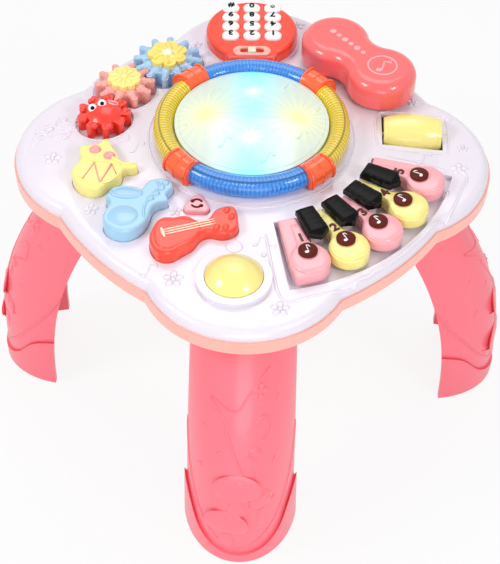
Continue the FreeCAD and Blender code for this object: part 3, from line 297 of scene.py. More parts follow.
@dataclass(frozen=True)
class Finish:
    """One surface finish, with the amounts that its shared effects take."""

    name: str
    ink: Ink
    roughness: float = 0.28
    coat: float = 0.35
    bump: float = 0.05
    cloud: float = 0.05
    subsurface: float = 0.0
    transmission: float = 0.0
    metallic: float = 0.0
    specular: float = 0.5
    ribs: float = 0.0
    lamps: bool = False
    glow: float = 0.0

    def material(self) -> bpy.types.Material:
        """Builds the material once and returns it afterwards.

        Returns:
            The material.
        """
        made = bpy.data.materials.get(self.name)
        if made:
            return made
        made = bpy.data.materials.new(self.name)
        made.use_nodes = True
        tree = made.node_tree
        shader = tree.nodes["Principled BSDF"]
        colour = linear(self.ink)
        skin = tree.nodes.new("ShaderNodeGroup")
        skin.node_tree = GROUPS["moulded"]
        skin.inputs["Dulling"].default_value = 0.12
        shader.inputs["Coat Weight"].default_value = self.coat
        shader.inputs["Coat Roughness"].default_value = 0.08
        shader.inputs["Metallic"].default_value = self.metallic
        shader.inputs["Specular IOR Level"].default_value = self.specular
        shader.inputs["Transmission Weight"].default_value = self.transmission
        if self.subsurface:
            shader.inputs["Subsurface Weight"].default_value = self.subsurface
            shader.inputs["Subsurface Scale"].default_value = 0.004
        base = self.blend(tree, skin.outputs["Tone"], tuple(c * (1 - self.cloud) for c in colour[:3]),
                          tuple(min(1.0, c * (1 + self.cloud)) for c in colour[:3]))
        pale = tuple(c + (1 - c) * 0.07 for c in colour[:3])
        base = self.blend(tree, skin.outputs["Edge"], base, pale)
        rough = tree.nodes.new("ShaderNodeMath")
        rough.operation = "ADD"
        rough.use_clamp = True
        rough.inputs[1].default_value = self.roughness
        tree.links.new(skin.outputs["Gloss"], rough.inputs[0])
        tree.links.new(rough.outputs[0], shader.inputs["Roughness"])
        bump = tree.nodes.new("ShaderNodeBump")
        bump.inputs["Strength"].default_value = self.bump
        bump.inputs["Distance"].default_value = 0.0002
        tree.links.new(skin.outputs["Height"], bump.inputs["Height"])
        last = bump
        if self.ribs:
            rib = tree.nodes.new("ShaderNodeGroup")
            rib.node_tree = GROUPS["ribs"]
            base = self.blend(tree, rib.outputs["Rib"], base, tuple(c * 0.62 for c in colour[:3]))
            base = self.blend(tree, rib.outputs["Line"], base, tuple(c * 0.35 for c in colour[:3]))
            last = tree.nodes.new("ShaderNodeBump")
            last.inputs["Strength"].default_value = self.ribs
            last.inputs["Distance"].default_value = 0.0008
            tree.links.new(rib.outputs["Rib"], last.inputs["Height"])
            tree.links.new(bump.outputs["Normal"], last.inputs["Normal"])
        if self.lamps:
            lamp = tree.nodes.new("ShaderNodeGroup")
            lamp.node_tree = GROUPS["lamps"]
            light = self.blend(tree, lamp.outputs["Glow"], (0.02, 0.05, 0.05), (0.0, 0.40, 0.50))
            light = self.blend(tree, lamp.outputs["Warm"], light, (0.50, 0.44, 0.06))
            light = self.blend(tree, lamp.outputs["Star"], light, (1.0, 1.0, 1.0))
            tree.links.new(light, shader.inputs["Emission Color"])
            base = self.blend(tree, lamp.outputs["Glow"], base, (0.30, 0.76, 0.86))
            base = self.blend(tree, lamp.outputs["Warm"], base, (0.92, 0.84, 0.40))
            shader.inputs["Emission Strength"].default_value = self.glow
        elif self.glow:
            tree.links.new(base, shader.inputs["Emission Color"])
            shader.inputs["Emission Strength"].default_value = self.glow
        tree.links.new(base, shader.inputs["Base Color"])
        tree.links.new(last.outputs["Normal"], shader.inputs["Normal"])
        return made

    @staticmethod
    def blend(tree: bpy.types.NodeTree, share: object, low: object, high: object) -> object:
        """Mixes two colours by a mask.

        Args:
            tree: the material's tree.
            share: mask socket.
            low: colour or socket at 0.
            high: colour at 1.

        Returns:
            The mixed colour socket.
        """
        mix = tree.nodes.new("ShaderNodeMix")
        mix.data_type = "RGBA"
        tree.links.new(share, mix.inputs[0])
        for value, socket in ((low, mix.inputs[6]), (high, mix.inputs[7])):
            if isinstance(value, tuple):
                socket.default_value = (*value, 1.0)
            else:
                tree.links.new(value, socket)
        return mix.outputs[2]


def finish(ink: Ink, **changes: float) -> Finish:
    """Finish named after its ink.

    Args:
        ink: the ink.
        changes: amounts that differ from the usual ones.

    Returns:
        The finish.
    """
    return Finish("finish_" + ink.name.lower(), ink, **changes)


COVER = finish(Ink.COVER, roughness=0.22, coat=0.5, cloud=0.02)
BAND = finish(Ink.BAND, roughness=0.32)
LEG = finish(Ink.LEG, roughness=0.36, coat=0.2, cloud=0.03)
PAD = finish(Ink.MILKY, roughness=0.18, coat=0.6, lamps=True, glow=0.6)
RING_BLUE = finish(Ink.RING_BLUE, roughness=0.1, coat=0.8, ribs=0.5, glow=0.12, transmission=0.15)
RING_YELLOW = finish(Ink.RING_YELLOW, roughness=0.1, coat=0.8, ribs=0.5, glow=0.1, transmission=0.15)
CLAMP = finish(Ink.CLAMP, roughness=0.2, coat=0.5)
PANEL = finish(Ink.PANEL, roughness=0.24)
YELLOW = finish(Ink.PALE_YELLOW, roughness=0.2, coat=0.5, cloud=0.03)
PINK = finish(Ink.PALE_PINK, roughness=0.2, coat=0.5, cloud=0.03)
HANDSET = finish(Ink.HANDSET, roughness=0.24, coat=0.5)
FLOWER_BLUE = finish(Ink.FLOWER_BLUE)
FLOWER_PINK = finish(Ink.FLOWER_PINK)
CREATURE = finish(Ink.CREATURE)
SUN = finish(Ink.SUN)
BLACK = finish(Ink.GLOSS_BLACK, roughness=0.22, coat=0.0, cloud=0.2, specular=0.1)
GUITAR = finish(Ink.GUITAR)
SAX = finish(Ink.SAX, roughness=0.22, coat=0.5)
BROWN = finish(Ink.BROWN, roughness=0.4, coat=0.0, specular=0.15)
CREAM = finish(Ink.CREAM)
WHITE = finish(Ink.WHITE)
STEEL = finish(Ink.STEEL, roughness=0.35, coat=0.0, metallic=1.0)
BOARD = finish(Ink.BOARD, roughness=0.5, coat=0.0)
SLEEVE = finish(Ink.SLEEVE, roughness=0.4)
PINK_PRINT = finish(Ink.PINK_PRINT)


class Bag:
    """Collects small shaped meshes, in millimetres, and builds them as one piece."""

    def __init__(self, name: str) -> None:
        """Starts an empty bag.

        Args:
            name: the piece's name.
        """
        self.name = name
        self.points: list[Vector] = []
        self.faces: list[tuple[int, ...]] = []

    def rings(self, rings: list[list[Vector]], closed: bool = False) -> None:
        """Skins a row of equal rings of points.

        Args:
            rings: the rings, in order.
            closed: whether the last ring joins the first.
        """
        base = len(self.points)
        count = len(rings[0])
        for ring in rings:
            self.points += ring
        last = len(rings) if closed else len(rings) - 1
        for i in range(last):
            a = base + i * count
            b = base + ((i + 1) % len(rings)) * count
            for k in range(count):
                n = (k + 1) % count
                self.faces.append((a + k, a + n, b + n, b + k))
        if not closed:
            self.faces.append(tuple(base + k for k in reversed(range(count))))
            self.faces.append(tuple(base + (len(rings) - 1) * count + k for k in range(count)))

    def puff(self, centre: Vector, along: Vector, normal: Vector, size: tuple[float, float, float]) -> None:
        """Soft cushion shape that lies on a surface.

        Args:
            centre: its middle.
            along: direction of its length.
            normal: direction in which it stands proud.
            size: half length, half width and half height.
        """
        normal = normal.normalized()
        along = (along - normal * along.dot(normal)).normalized()
        across = normal.cross(along)
        rings = []
        for i in range(1, 8):
            tilt = math.pi * i / 8
            ring = []
            for k in range(20):
                turn = math.tau * k / 20
                ring.append(centre + along * (size[0] * math.sin(tilt) * math.cos(turn))
                            + across * (size[1] * math.sin(tilt) * math.sin(turn))
                            - normal * (size[2] * math.cos(tilt)))
            rings.append(ring)
        self.rings(rings)

    def bead(self, line: list[Vector], radius: float, closed: bool = False, sides: int = 8) -> None:
        """Round bead along a line of points, drawn in at its ends.

        Args:
            line: points along its middle.
            radius: bead radius.
            closed: whether it is a loop.
            sides: points round it.
        """
        count = len(line)
        up = Vector((0.13, 0.21, 0.97)).normalized()
        rings = []
        for i, point in enumerate(line):
            ahead = line[(i + 1) % count] if closed or i < count - 1 else point
            behind = line[i - 1] if closed or i > 0 else point
            step = (ahead - behind).normalized()
            side = step.cross(up).normalized()
            high = side.cross(step)
            wide = radius if closed or 0 < i < count - 1 else 0.45 * radius
            rings.append([point + side * (wide * math.cos(math.tau * k / sides))
                          + high * (wide * math.sin(math.tau * k / sides)) for k in range(sides)])
        self.rings(rings, closed)

    def flatten(self, height: float) -> None:
        """Keeps every point at or below a height, so that a print lies flat."""
        for point in self.points:
            point.z = min(point.z, height)

    def lathe(self, profile: list[Point2], centre: Vector, axis: Vector) -> None:
        """Turned shape about an axis.

        Args:
            profile: pairs of radius and height.
            centre: point on the axis at height zero.
            axis: direction of the axis.
        """
        axis = axis.normalized()
        first = axis.orthogonal().normalized()
        second = axis.cross(first)
        self.rings([[centre + axis * h + first * (r * math.cos(math.tau * k / 40))
                     + second * (r * math.sin(math.tau * k / 40)) for k in range(40)] for r, h in profile])

    def pillow(self, start: Vector, along: Vector, stations: list[tuple[float, float, float]],
               foot: float = 1.2) -> None:
        """Soft top that swells over a flat outline.

        Args:
            start: point on the flat top where the length starts.
            along: level direction of its length.
            stations: distance along, half width and crown height, in order.
            foot: how far it reaches below the flat top.
        """
        side = along.cross(UP)
        rings = []
        for reach, half, crown in stations:
            middle = start + along * reach
            ring = []
            for k in range(17):
                turn = math.pi * k / 16
                share = math.copysign(abs(math.cos(turn)) ** 0.7, math.cos(turn))
                ring.append(middle + side * (half * share) + Vector((0, 0, crown * math.sin(turn) ** 0.75)))
            ring += [middle - side * half - Vector((0, 0, foot)), middle + side * half - Vector((0, 0, foot))]
            rings.append(ring)
        self.rings(rings)

    def word(self, text: str, centre: Vector, up: Vector, size: float, height: float = 0.35) -> None:
        """Raised numeral or sign that faces upwards.

        Args:
            text: numerals or signs.
            centre: its middle.
            up: direction of its top, level.
            size: its height.
            height: how far it stands proud.
        """
        curve = bpy.data.curves.new("word", "FONT")
        curve.body = text
        curve.size = size
        curve.align_x = "CENTER"
        curve.align_y = "CENTER"
        curve.extrude = height
        curve.offset = 0.04 * size
        curve.resolution_u = 4
        piece = bpy.data.objects.new("word", curve)
        bpy.context.scene.collection.objects.link(piece)
        bpy.context.view_layer.update()
        mesh = bpy.data.meshes.new_from_object(piece.evaluated_get(bpy.context.evaluated_depsgraph_get()))
        up = up.normalized()
        right = up.cross(UP)
        base = len(self.points)
        self.points += [centre + right * v.co.x + up * v.co.y + Vector((0, 0, v.co.z)) for v in mesh.vertices]
        self.faces += [tuple(base + i for i in p.vertices) for p in mesh.polygons]
        bpy.data.objects.remove(piece)
        bpy.data.curves.remove(curve)
        bpy.data.meshes.remove(mesh)

    def build(self, look: Finish, body: str, slot: str) -> bpy.types.Object:
        """Makes the piece.

        Args:
            look: its finish.
            body: the body that it rides on.
            slot: the record's material slot; not used.

        Returns:
            The object.
        """
        mesh = bpy.data.meshes.new(self.name)
        mesh.from_pydata([p * MM for p in self.points], [], self.faces)
        mesh.validate()
        mesh.shade_smooth()
        mesh.set_sharp_from_angle(angle=math.radians(50))
        mesh.materials.append(look.material())
        piece = bpy.data.objects.new(self.name, mesh)
        bpy.context.scene.collection.objects.link(piece)
        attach(piece, body)
        LOG.info("piece %s on %s", self.name, body)
        return piece


class Skin:
    """Finds places on the outside of a solid."""

    def __init__(self, node: str, nodes: dict[str, bpy.types.Object]) -> None:
        """Prepares the search.

        Args:
            node: the solid's node.
            nodes: all nodes.
        """
        mesh = nodes[node].data
        self.tree = BVHTree.FromPolygons([v.co / MM for v in mesh.vertices],
                                         [tuple(p.vertices) for p in mesh.polygons])
        self.crest = max(v.co.z for v in mesh.vertices) / MM

    @classmethod
    def of(cls, piece: bpy.types.Object) -> "Skin":
        """Prepares the search on any piece.

        Args:
            piece: the piece.

        Returns:
            Its outside.
        """
        return cls(piece.name, {piece.name: piece})

    def hit(self, start: Vector, way: Vector) -> tuple[Vector, Vector]:
        """First place that a straight line meets, or the nearest to the middle of its run.

        Args:
            start: where the line starts.
            way: its direction.

        Returns:
            The place and the outward normal there.
        """
        place, normal, _, _ = self.tree.ray_cast(start, way)
        if place is None:
            place, normal, _, _ = self.tree.find_nearest(start * 0.5)
        return place, normal if normal.dot(way) < 0 else -normal

    def top(self, x: float, y: float) -> Vector:
        """Place on the upper side at (x, y), or the nearest one where there is an opening."""
        place = self.tree.ray_cast(Vector((x, y, RAY_HEIGHT)), -UP)[0]
        if place is None or place.z < self.crest - OPENING_DEPTH:
            place = self.tree.find_nearest(Vector((x, y, self.crest - 4.0)))[0]
        return place

    def lean(self, x: float, y: float) -> Vector:
        """Outward direction of the surface at (x, y), from three places round it."""
        a, b, c = (self.top(x + u, y + v) for u, v in ((-1.5, -1.0), (1.5, -1.0), (0.0, 1.8)))
        return (b - a).cross(c - a).normalized()


def smooth_line(points: list[Point2], steps: int = 6, closed: bool = False) -> list[Point2]:
    """Rounded line through points.

    Args:
        points: the points.
        steps: points made per stretch.
        closed: whether the line is a loop.

    Returns:
        The finer points.
    """
    count = len(points)
    result: list[Point2] = []
    for i in range(count if closed else count - 1):
        p = [points[(i + k) % count if closed else min(max(i + k, 0), count - 1)] for k in (-1, 0, 1, 2)]
        for s in range(steps):
            t = s / steps
            result.append(tuple(0.5 * (2 * p[1][n] + (p[2][n] - p[0][n]) * t
                                       + (2 * p[0][n] - 5 * p[1][n] + 4 * p[2][n] - p[3][n]) * t * t
                                       + (3 * p[1][n] - p[0][n] - 3 * p[2][n] + p[3][n]) * t ** 3) for n in (0, 1)))
    if not closed:
        result.append(points[-1])
    return result


def polar(radius: float, degrees: float, x: float = 0.0, y: float = 0.0) -> Point2:
    """Point at a radius and angle from a centre."""
    return x + radius * math.cos(math.radians(degrees)), y + radius * math.sin(math.radians(degrees))


class Section:
    """A sub-assembly that dresses its own solids and adds its own pieces."""

    looks: dict[str, Finish] = {}

    def __init__(self, nodes: dict[str, bpy.types.Object]) -> None:
        """Keeps the solids.

        Args:
            nodes: all solids by name.
        """
        self.nodes = nodes

    def dress(self) -> None:
        """Gives each solid of the section its finish."""
        for name, look in self.looks.items():
            for slot in self.nodes[name].material_slots:
                slot.link = "OBJECT"
                slot.material = look.material()

    def meshes(self) -> None:
        """Adds the pieces that the solids don't have."""


def on_top(skin: Skin, points: list[Point2], lift: float = 0.0) -> list[Vector]:
    """Points laid on the upper side of a solid.

    Args:
        skin: the solid's outside.
        points: places in plan.
        lift: height above the solid.

    Returns:
        The points in space.
    """
    return [skin.top(*p) + Vector((0, 0, lift)) for p in points]


def note_shape(bag: Bag, skin: Skin, x: float, y: float, size: float, lean: float = 12.0) -> None:
    """Plain quaver laid on a surface.

    Args:
        bag: the bag that takes it.
        skin: the surface.
        x: place of its head.
        y: place of its head.
        size: overall height.
        lean: lean in degrees.
    """
    stem = 90.0 - lean
    bag.puff(skin.top(x, y), Vector((1, 0.35, 0)), UP, (0.24 * size, 0.17 * size, 0.14 * size))
    foot = (x + 0.2 * size, y)
    head = polar(size, stem, *foot)
    tip = polar(0.42 * size, stem - 75, *head)
    bag.bead(on_top(skin, [foot, polar(size / 2, stem, *foot), head]), 0.07 * size)
    bag.bead(on_top(skin, smooth_line([head, polar(0.3 * size, stem - 110, *head), tip,
                                       polar(0.3 * size, -95, *tip)])),
             0.07 * size)


@dataclass
class TableTop(Section):
    """Cover with its moulded ornaments, and the tray below it."""

    nodes: dict[str, bpy.types.Object]
    flowers: list[tuple[float, float, float]] = field(default_factory=lambda: [
        (-140, -14, 6.5), (-107, -64, 5.5), (-46, -124, 7.0), (146, -10, 6.5), (24, -146, 6.5),
                                                                               (-49, -66, 4.5),
        (150, 12, 4.0), (44, 84, 4.5), (30, 148, 5.5), (-48, 118, 5.0), (-130, 84, 4.5), (116, 60, 4.5)])
    notes: list[tuple[float, float, float]] = field(default_factory=lambda: [
        (118, -6, 11.0), (-146, 16, 12.0), (-134, 8, 10.0), (-66, -122, 10.0), (12, -102, 9.0),
                                                                             (-84, -8, 9.0),
        (136, 34, 9.0), (6, -94, 8.0)])
    roller_frame: tuple[float, float, float, float] = (88.5, 139.5, 5.5, 46.0)
    looks = {"top_cover": COVER, "bottom_housing": BAND, "battery_door": BAND, "battery_cells": SLEEVE,
             "leg_screws": STEEL, "case_screws": STEEL, "circuit_board": BOARD, "speaker": BLACK,
             "led_lamps": WHITE}

    def meshes(self) -> None:
        """Raised flowers, notes, staff lines, rings and the piano's border."""
        skin = Skin("top_cover", self.nodes)
        bag = Bag("cover_ornaments")
        for x, y, size in self.flowers:
            for k in range(5):
                px, py = polar(0.62 * size, 72 * k + 18, x, y)
                way = Vector((px - x, py - y, 0))
                bag.puff(skin.top(px, py), way, skin.lean(px, py), (0.42 * size, 0.34 * size, 1.1))
            bag.puff(skin.top(x, y), Vector((1, 0, 0)), skin.lean(x, y), (0.25 * size, 0.25 * size, 1.6))
        for x, y, size in self.notes:
            note_shape(bag, skin, x, y, size)
        for k in range(4):
            wave = [(-157 + 9 * s,
                     -24 + 5.0 * k + 3.5 * math.sin(s * 1.1 + 0.2 * k) + 5.2 * s) for s in range(5)]
            bag.bead(on_top(skin, smooth_line([(x, y + 22) for x, y in wave])), 0.55)
        for x, y, radius in ((-8, -96, 5.5), (-44, 100, 4.0), (134, -34, 4.0), (-92, 6, 4.5), (48, 100, 3.0)):
            bag.bead(on_top(skin, [polar(radius, 15 * k, x, y) for k in range(24)]), 0.5, True)
        fan = [polar(97, -82, *DRUM_CENTRE), polar(125, -81.5, *DRUM_CENTRE)]
        fan += [polar(153, -80 + 7 * k, *DRUM_CENTRE) for k in range(11)]
        fan += [polar(125, -8.5, *DRUM_CENTRE), polar(97, -8.5, *DRUM_CENTRE)]
        bag.bead(on_top(skin, smooth_line(fan, 5), -0.3), 1.2)
        bag.bead(on_top(skin, [polar(73.6, 5 * k, *DRUM_CENTRE) for k in range(72)], 0.1), 0.8, True)
        x0, x1, y0, y1 = self.roller_frame
        loop = [(x0 + 6, y0), (x1 - 6, y0), (x1, y0 + 6), (x1, y1 - 6), (x1 - 6, y1), (x0 + 8, y1),
                (x0, y1 - 8), (x0, y0 + 6)]
        bag.bead(on_top(skin, smooth_line(loop, 5, True), -0.2), 0.9, True)
        bag.build(COVER, "table", "cover_white")
        rims = Bag("gear_well_rims")
        for spot in GEAR_SPOTS:
            ring = [polar(spot.tip + 2.2, 7.5 * k, spot.x, spot.y) for k in range(48)]
            others = [other for other in GEAR_SPOTS if other is not spot]
            free = [p for p in ring if all(math.hypot(p[0] - o.x, p[1] - o.y) > o.tip + 2.6 for o in others)]
            start = max(range(len(free)), key=lambda i: math.dist(free[i], free[i - 1]))
            rims.bead(on_top(skin, free[start:] + free[:start], -0.2), 0.8)
        rims.build(COVER, "table", "cover_white")


@dataclass
class LegSet(Section):
    """Four curved legs with raised mushrooms, a vine and a panel rim."""

    nodes: dict[str, bpy.types.Object]
    looks = {name: LEG for name in ("leg_right", "leg_back", "leg_left", "leg_front")}

    def meshes(self) -> None:
        """Ornaments on the outer face of each leg."""
        for name, turn in (("leg_right", 0), ("leg_back", 90), ("leg_left", 180), ("leg_front", 270)):
            self.ornament(name, turn)

    def ornament(self, name: str, turn: float) -> None:
        """Ornaments of one leg.

        Args:
            name: the leg.
            turn: its direction in degrees.
        """
        skin = Skin(name, self.nodes)
        out = Vector((*polar(1, turn), 0))
        across = Vector((*polar(1, turn + 90), 0))
        bag = Bag(name + "_ornaments")

        def lay(u: float, z: float, lift: float = 0.0) -> tuple[Vector, Vector]:
            """Place and outward direction on the leg at a width and a height."""
            place, normal = skin.hit(out * 260 + across * u + UP * z, -out)
            return place + normal * lift, normal

        def line(points: list[Point2], radius: float) -> None:
            """Raised line laid through points of the leg."""
            bag.bead([lay(u, z)[0] for u, z in smooth_line(points)], radius)

        def cap(u: float, z: float, half: float, tall: float, foot: float) -> None:
            """Mushroom with spots.

            Args:
                u: place across the leg.
                z: height of the cap's middle.
                half: half width of the cap.
                tall: height of the cap.
                foot: height of the stem's foot.
            """
            place, normal = lay(u, z, -0.4)
            bag.puff(place, across, normal, (half, tall / 2, 1.7))
            line([(u - half * 0.98, z - tall * 0.18), (u, z - tall * 0.5),
                  (u + half * 0.98, z - tall * 0.18)], 0.8)
            stem, normal = lay(u, (z - tall / 2 + foot) / 2, -0.3)
            bag.puff(stem, UP, normal, ((z - tall / 2 - foot) / 2 + 1, half * 0.36, 1.3))
            for du, dz, r in ((-0.45, 0.05, 0.17), (0.1, 0.18, 0.2), (0.55, -0.02, 0.14)):
                spot, normal = lay(u + du * half, z + dz * tall, 1.0)
                bag.puff(spot, across, normal, (r * half, r * half, 0.7))

        cap(-1, 82, 17, 25, 53)
        cap(-8.5, 45, 16.5, 26, 16)
        cap(16, 68, 9, 20, 40)
        cap(11, 111.5, 5, 9, 93)
        line([(3, 94), (-8, 124), (-9, 132), (-20, 145), (-3, 141), (6, 152), (19, 165)], 0.8)
        line([(14, 118), (21, 123), (19, 133), (15, 136), (9, 130)], 0.8)
        line([(-38, 100), (-35.5, 69), (-24, 34), (0, 15), (24, 34), (35.5, 69), (38, 100)], 0.9)
        for k in range(5):
            du, dz = polar(3.6, 72 * k)
            place, normal = lay(13 + du, 152 + dz, -0.1)
            bag.puff(place, across, normal, (2.2, 2.2, 0.9))
        for u, z in ((-14, 108), (-24, 122), (24, 98), (-27, 88), (25, 142)):
            place, normal = lay(u, z, -0.1)
            bag.puff(place, across + UP, normal, (3.4, 1.8, 0.9))
        bag.build(LEG, "table", "leg_coral")


@dataclass
class DrumSet(Section):
    """Milky drum pad and the ring of light tubes and clamps round it."""

    nodes: dict[str, bpy.types.Object]
    centre: Point2 = DRUM_CENTRE
    tube_height: float = 236.9
    looks = {"drum_pad": PAD, "ring_front_blue": RING_BLUE, "ring_back_blue": RING_BLUE,
             "ring_left_yellow": RING_YELLOW, "ring_right_yellow": RING_YELLOW,
             **{"ring_clamp_" + end: CLAMP for end in ("front_left", "front_right", "back_left",
                                                       "back_right")}}

    def meshes(self) -> None:
        """Collars on the clamps and faint raised figures on the pad."""
        bag = Bag("clamp_collars")
        for k in range(4):
            for side in (-1, 0, 1):
                turn = 45 + 90 * k + side * 7.6
                x, y = polar(64.3, turn, *self.centre)
                out = Vector((*polar(1, turn), 0))
                size = 9.7 if side else 9.4
                ring = [Vector((x, y, self.tube_height)) + out * (size * math.cos(a)) + Vector((0, 0, size * math.sin(a)))
                        for a in [math.radians(-38 + 10 * i) for i in range(16)]]
                bag.bead(ring, 0.9 if side else 0.5)
        bag.build(CLAMP, "table", "clamp_orange")
        skin = Skin("drum_pad", self.nodes)
        figures = Bag("pad_figures")
        for k in range(8):
            x, y = polar(38 if k % 2 else 45, 45 * k + 12, *self.centre)
            note_shape(figures, skin, x, y, 8.0, 20)
        figures.bead(on_top(skin, [polar(51.5, 6 * k, *self.centre) for k in range(60)], -0.2), 0.5, True)
        figures.build(PAD, "drum", "drum_milky")


@dataclass
class PianoRow(Section):
    """Coloured keys with numerals and note discs, and the black keys between them."""

    nodes: dict[str, bpy.types.Object]
    label_reach: float = 123.8
    numeral_reach: float = 110.0
    swell: float = 2.4
    black_swell: float = 0.9
    first_key: float = -70.4
    first_black: float = -64.0
    pitch: float = 12.8
    looks = {"black_keys": BLACK, "key_pivot_pins": STEEL,
             **{f"piano_key_{i}": PINK if i % 2 else YELLOW for i in range(1, 6)}}

    def stations(self, skin: Skin, turn: float,
                 span: Point2 = (96.0, 143.0)) -> list[tuple[float, float, float]]:
        """Half widths and crown heights of a key, read off its solid.

        Args:
            skin: the key's outside.
            turn: its direction in degrees.
            span: nearest and farthest distance to try.

        Returns:
            Distance from the drum's centre, half width and crown height.
        """
        crest = skin.crest
        found = []
        for k in range(49):
            reach = span[0] + (span[1] - span[0]) * k / 48
            wide = 0.0
            middle = polar(reach, turn, *DRUM_CENTRE)
            for step in range(1, 60):
                at = 0.25 * step
                rim = []
                for side in (turn - 90, turn + 90):
                    start = Vector((*polar(1.0, side, *middle), 300)) + Vector((*polar(at - 1.0, side), 0))
                    rim.append(skin.tree.ray_cast(start, -UP)[0])
                if not all(r is not None and r.z > crest - 0.6 for r in rim):
                    break
                wide = at
            if wide > 1.0:
                found.append((reach, wide - 0.1))
        last = found[-1][0]
        first = found[0][0]
        return [(r, w, self.swell * min(1.0, w / 8.0) * min(1.0, (last + 0.6 - r) / 3.0,
                                                            (r - first + 0.6) / 3.0) ** 0.5)
                for r, w in found]

    def meshes(self) -> None:
        """Puffed paddles, numerals and discs with a plain note."""
        blacks = Bag("black_key_crowns")
        skin = Skin("black_keys", self.nodes)
        for i in range(4):
            turn = self.first_black + self.pitch * i
            way = Vector((*polar(1, turn), 0))
            foot = Vector((*DRUM_CENTRE, skin.crest))
            rows = self.stations(skin, turn, (86.0, 126.0))
            blacks.pillow(foot, way, [(r, w, self.black_swell * c) for r, w, c in rows])
        blacks.build(BLACK, "table", "black_key")
        for i in range(5):
            key = i + 1
            turn = self.first_key + self.pitch * i
            skin = Skin(f"piano_key_{key}", self.nodes)
            inward = Vector((*polar(-1, turn), 0))
            name = f"piano_key_{key}"
            crown = Bag(name + "_crown")
            way = Vector((*polar(1, turn), 0))
            foot = Vector((*DRUM_CENTRE, skin.crest))
            crown.pillow(foot, way, self.stations(skin, turn))
            look, slot = (PINK, "key_pink") if key % 2 else (YELLOW, "key_yellow")
            crown.build(look, f"piano_{key}", slot)
            skin = Skin.of(bpy.data.objects[name + "_crown"])
            disc = Bag(name + "_print")
            spot = skin.top(*polar(self.label_reach, turn, *DRUM_CENTRE))
            disc.lathe([(0.1, -1.0), (6.3, -1.0), (6.5, 1.45), (6.2, 1.72), (0.1, 1.8)], spot, UP)
            disc.word(str(key), skin.top(*polar(self.numeral_reach, turn, *DRUM_CENTRE)), inward, 9.6, 0.5)
            disc.build(BROWN, f"piano_{key}", "key_pink")
            mark = Bag(name + "_note")
            at = spot + inward * -1.6 + Vector((0, 0, 1.8))
            side = inward.cross(UP)
            mark.puff(at - side * 1.2, side, UP, (1.5, 1.1, 0.3))
            mark.bead([at, at + inward * 3.0, at + inward * 6.0], 0.4)
            mark.bead([at + inward * 6.0, at + inward * 5.2 + side * 1.4, at + inward * 3.6 + side * 2.2],
                      0.4)
            mark.build(WHITE, f"piano_{key}", "slider_cream")


@dataclass
class KeypadPanel(Section):
    """Phone keypad with numbered keys and its slide switch."""

    nodes: dict[str, bpy.types.Object]
    tilt: float = 2.5
    looks = {"keypad_panel": PANEL, "keypad_board": BOARD, "switch_bezel": BAND,
             "switch_slider": CREAM,
             **{"keypad_key_" + name: WHITE for name in PHONE_KEYS}}

    def meshes(self) -> None:
        """Digits, the panel's rim bead, the bezel's pips and the grip on the slider."""
        tilt = math.radians(self.tilt)
        down = Vector((math.sin(tilt), -math.cos(tilt), 0))
        for name in PHONE_KEYS:
            low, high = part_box("keypad_key_" + name)
            top = Vector(((low.x + high.x) / 2, (low.y + high.y) / 2, high.z)) / MM
            bag = Bag(f"keypad_digit_{name}")
            bag.word({"hash": "#", "star": "*"}.get(name, name), top - down * 1.7, down, 7.6, 0.4)
            bag.build(BLACK, "keypad_" + name, "black_key")
            puff = Bag(f"keypad_crown_{name}")
            puff.puff(top - Vector((0, 0, 0.9)), Vector((1, 0.04, 0)), UP, (6.0, 4.2, 1.15))
            puff.build(WHITE, "keypad_" + name, "key_yellow")
        skin = Skin("keypad_panel", self.nodes)
        bag = Bag("keypad_rim")
        arc = [polar(32.4, -50 + 10 * k, -5.3, 124.1) for k in range(29)]
        bag.bead(on_top(skin, arc, -0.35), 0.8)
        bag.build(PANEL, "table", "keypad_red")
        low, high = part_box("switch_bezel")
        centre = (low + high) / 2 / MM
        pips = Bag("bezel_pips")
        right = Vector((math.cos(tilt), math.sin(tilt), 0))
        for side in (-1, 1):
            pips.puff(Vector((centre.x, centre.y, high.z / MM)) + right * (side * 11.6), right, UP,
                      (1.1, 1.1, 0.5))
        pips.build(BAND, "table", "band_peach")
        low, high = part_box("switch_slider")
        grip = Bag("slider_grip")
        for k in (-1, 0, 1):
            at = Vector(((low.x + high.x) / 2 / MM, (low.y + high.y) / 2 / MM,
                         high.z / MM - 0.1)) + right * (1.5 * k)
            grip.bead([at - down * 1.9, at, at + down * 1.9], 0.35)
        grip.build(CREAM, "slider", "slider_cream")


@dataclass
class HandsetDress(Section):
    """Handset with a parting line and a plain raised emblem."""

    nodes: dict[str, bpy.types.Object]
    emblem: Point2 = (91.7, 67.7)
    looks = {"handset_lower_shell": HANDSET, "handset_upper_shell": HANDSET}

    def meshes(self) -> None:
        """A printed note, dots and a ring in pale pink, made for this part."""
        skin = Skin("handset_upper_shell", self.nodes)
        bag = Bag("handset_print")
        cx, cy = self.emblem
        bag.bead(on_top(skin, [polar(10.5, 12 * k, cx, cy) for k in range(30)], -0.25), 0.75, True)
        note_shape(bag, skin, cx - 2.5, cy - 5.0, 10.5)
        for k in range(6):
            share = k / 5
            x, y = 56 + 22 * share, 106 - 24 * share
            bag.puff(skin.top(x, y), Vector((1, 0, 0)), UP, (2.4 - 0.5 * (k % 2), 2.4 - 0.5 * (k % 2), 0.4))
        bag.flatten(skin.crest + 0.04)
        bag.build(PINK, "handset", "key_pink")


@dataclass(frozen=True)
class Petals:
    """Number, first direction, inner and outer reach and half width of a gear's petals."""

    count: int
    first: float
    inner: float
    outer: float
    half: float


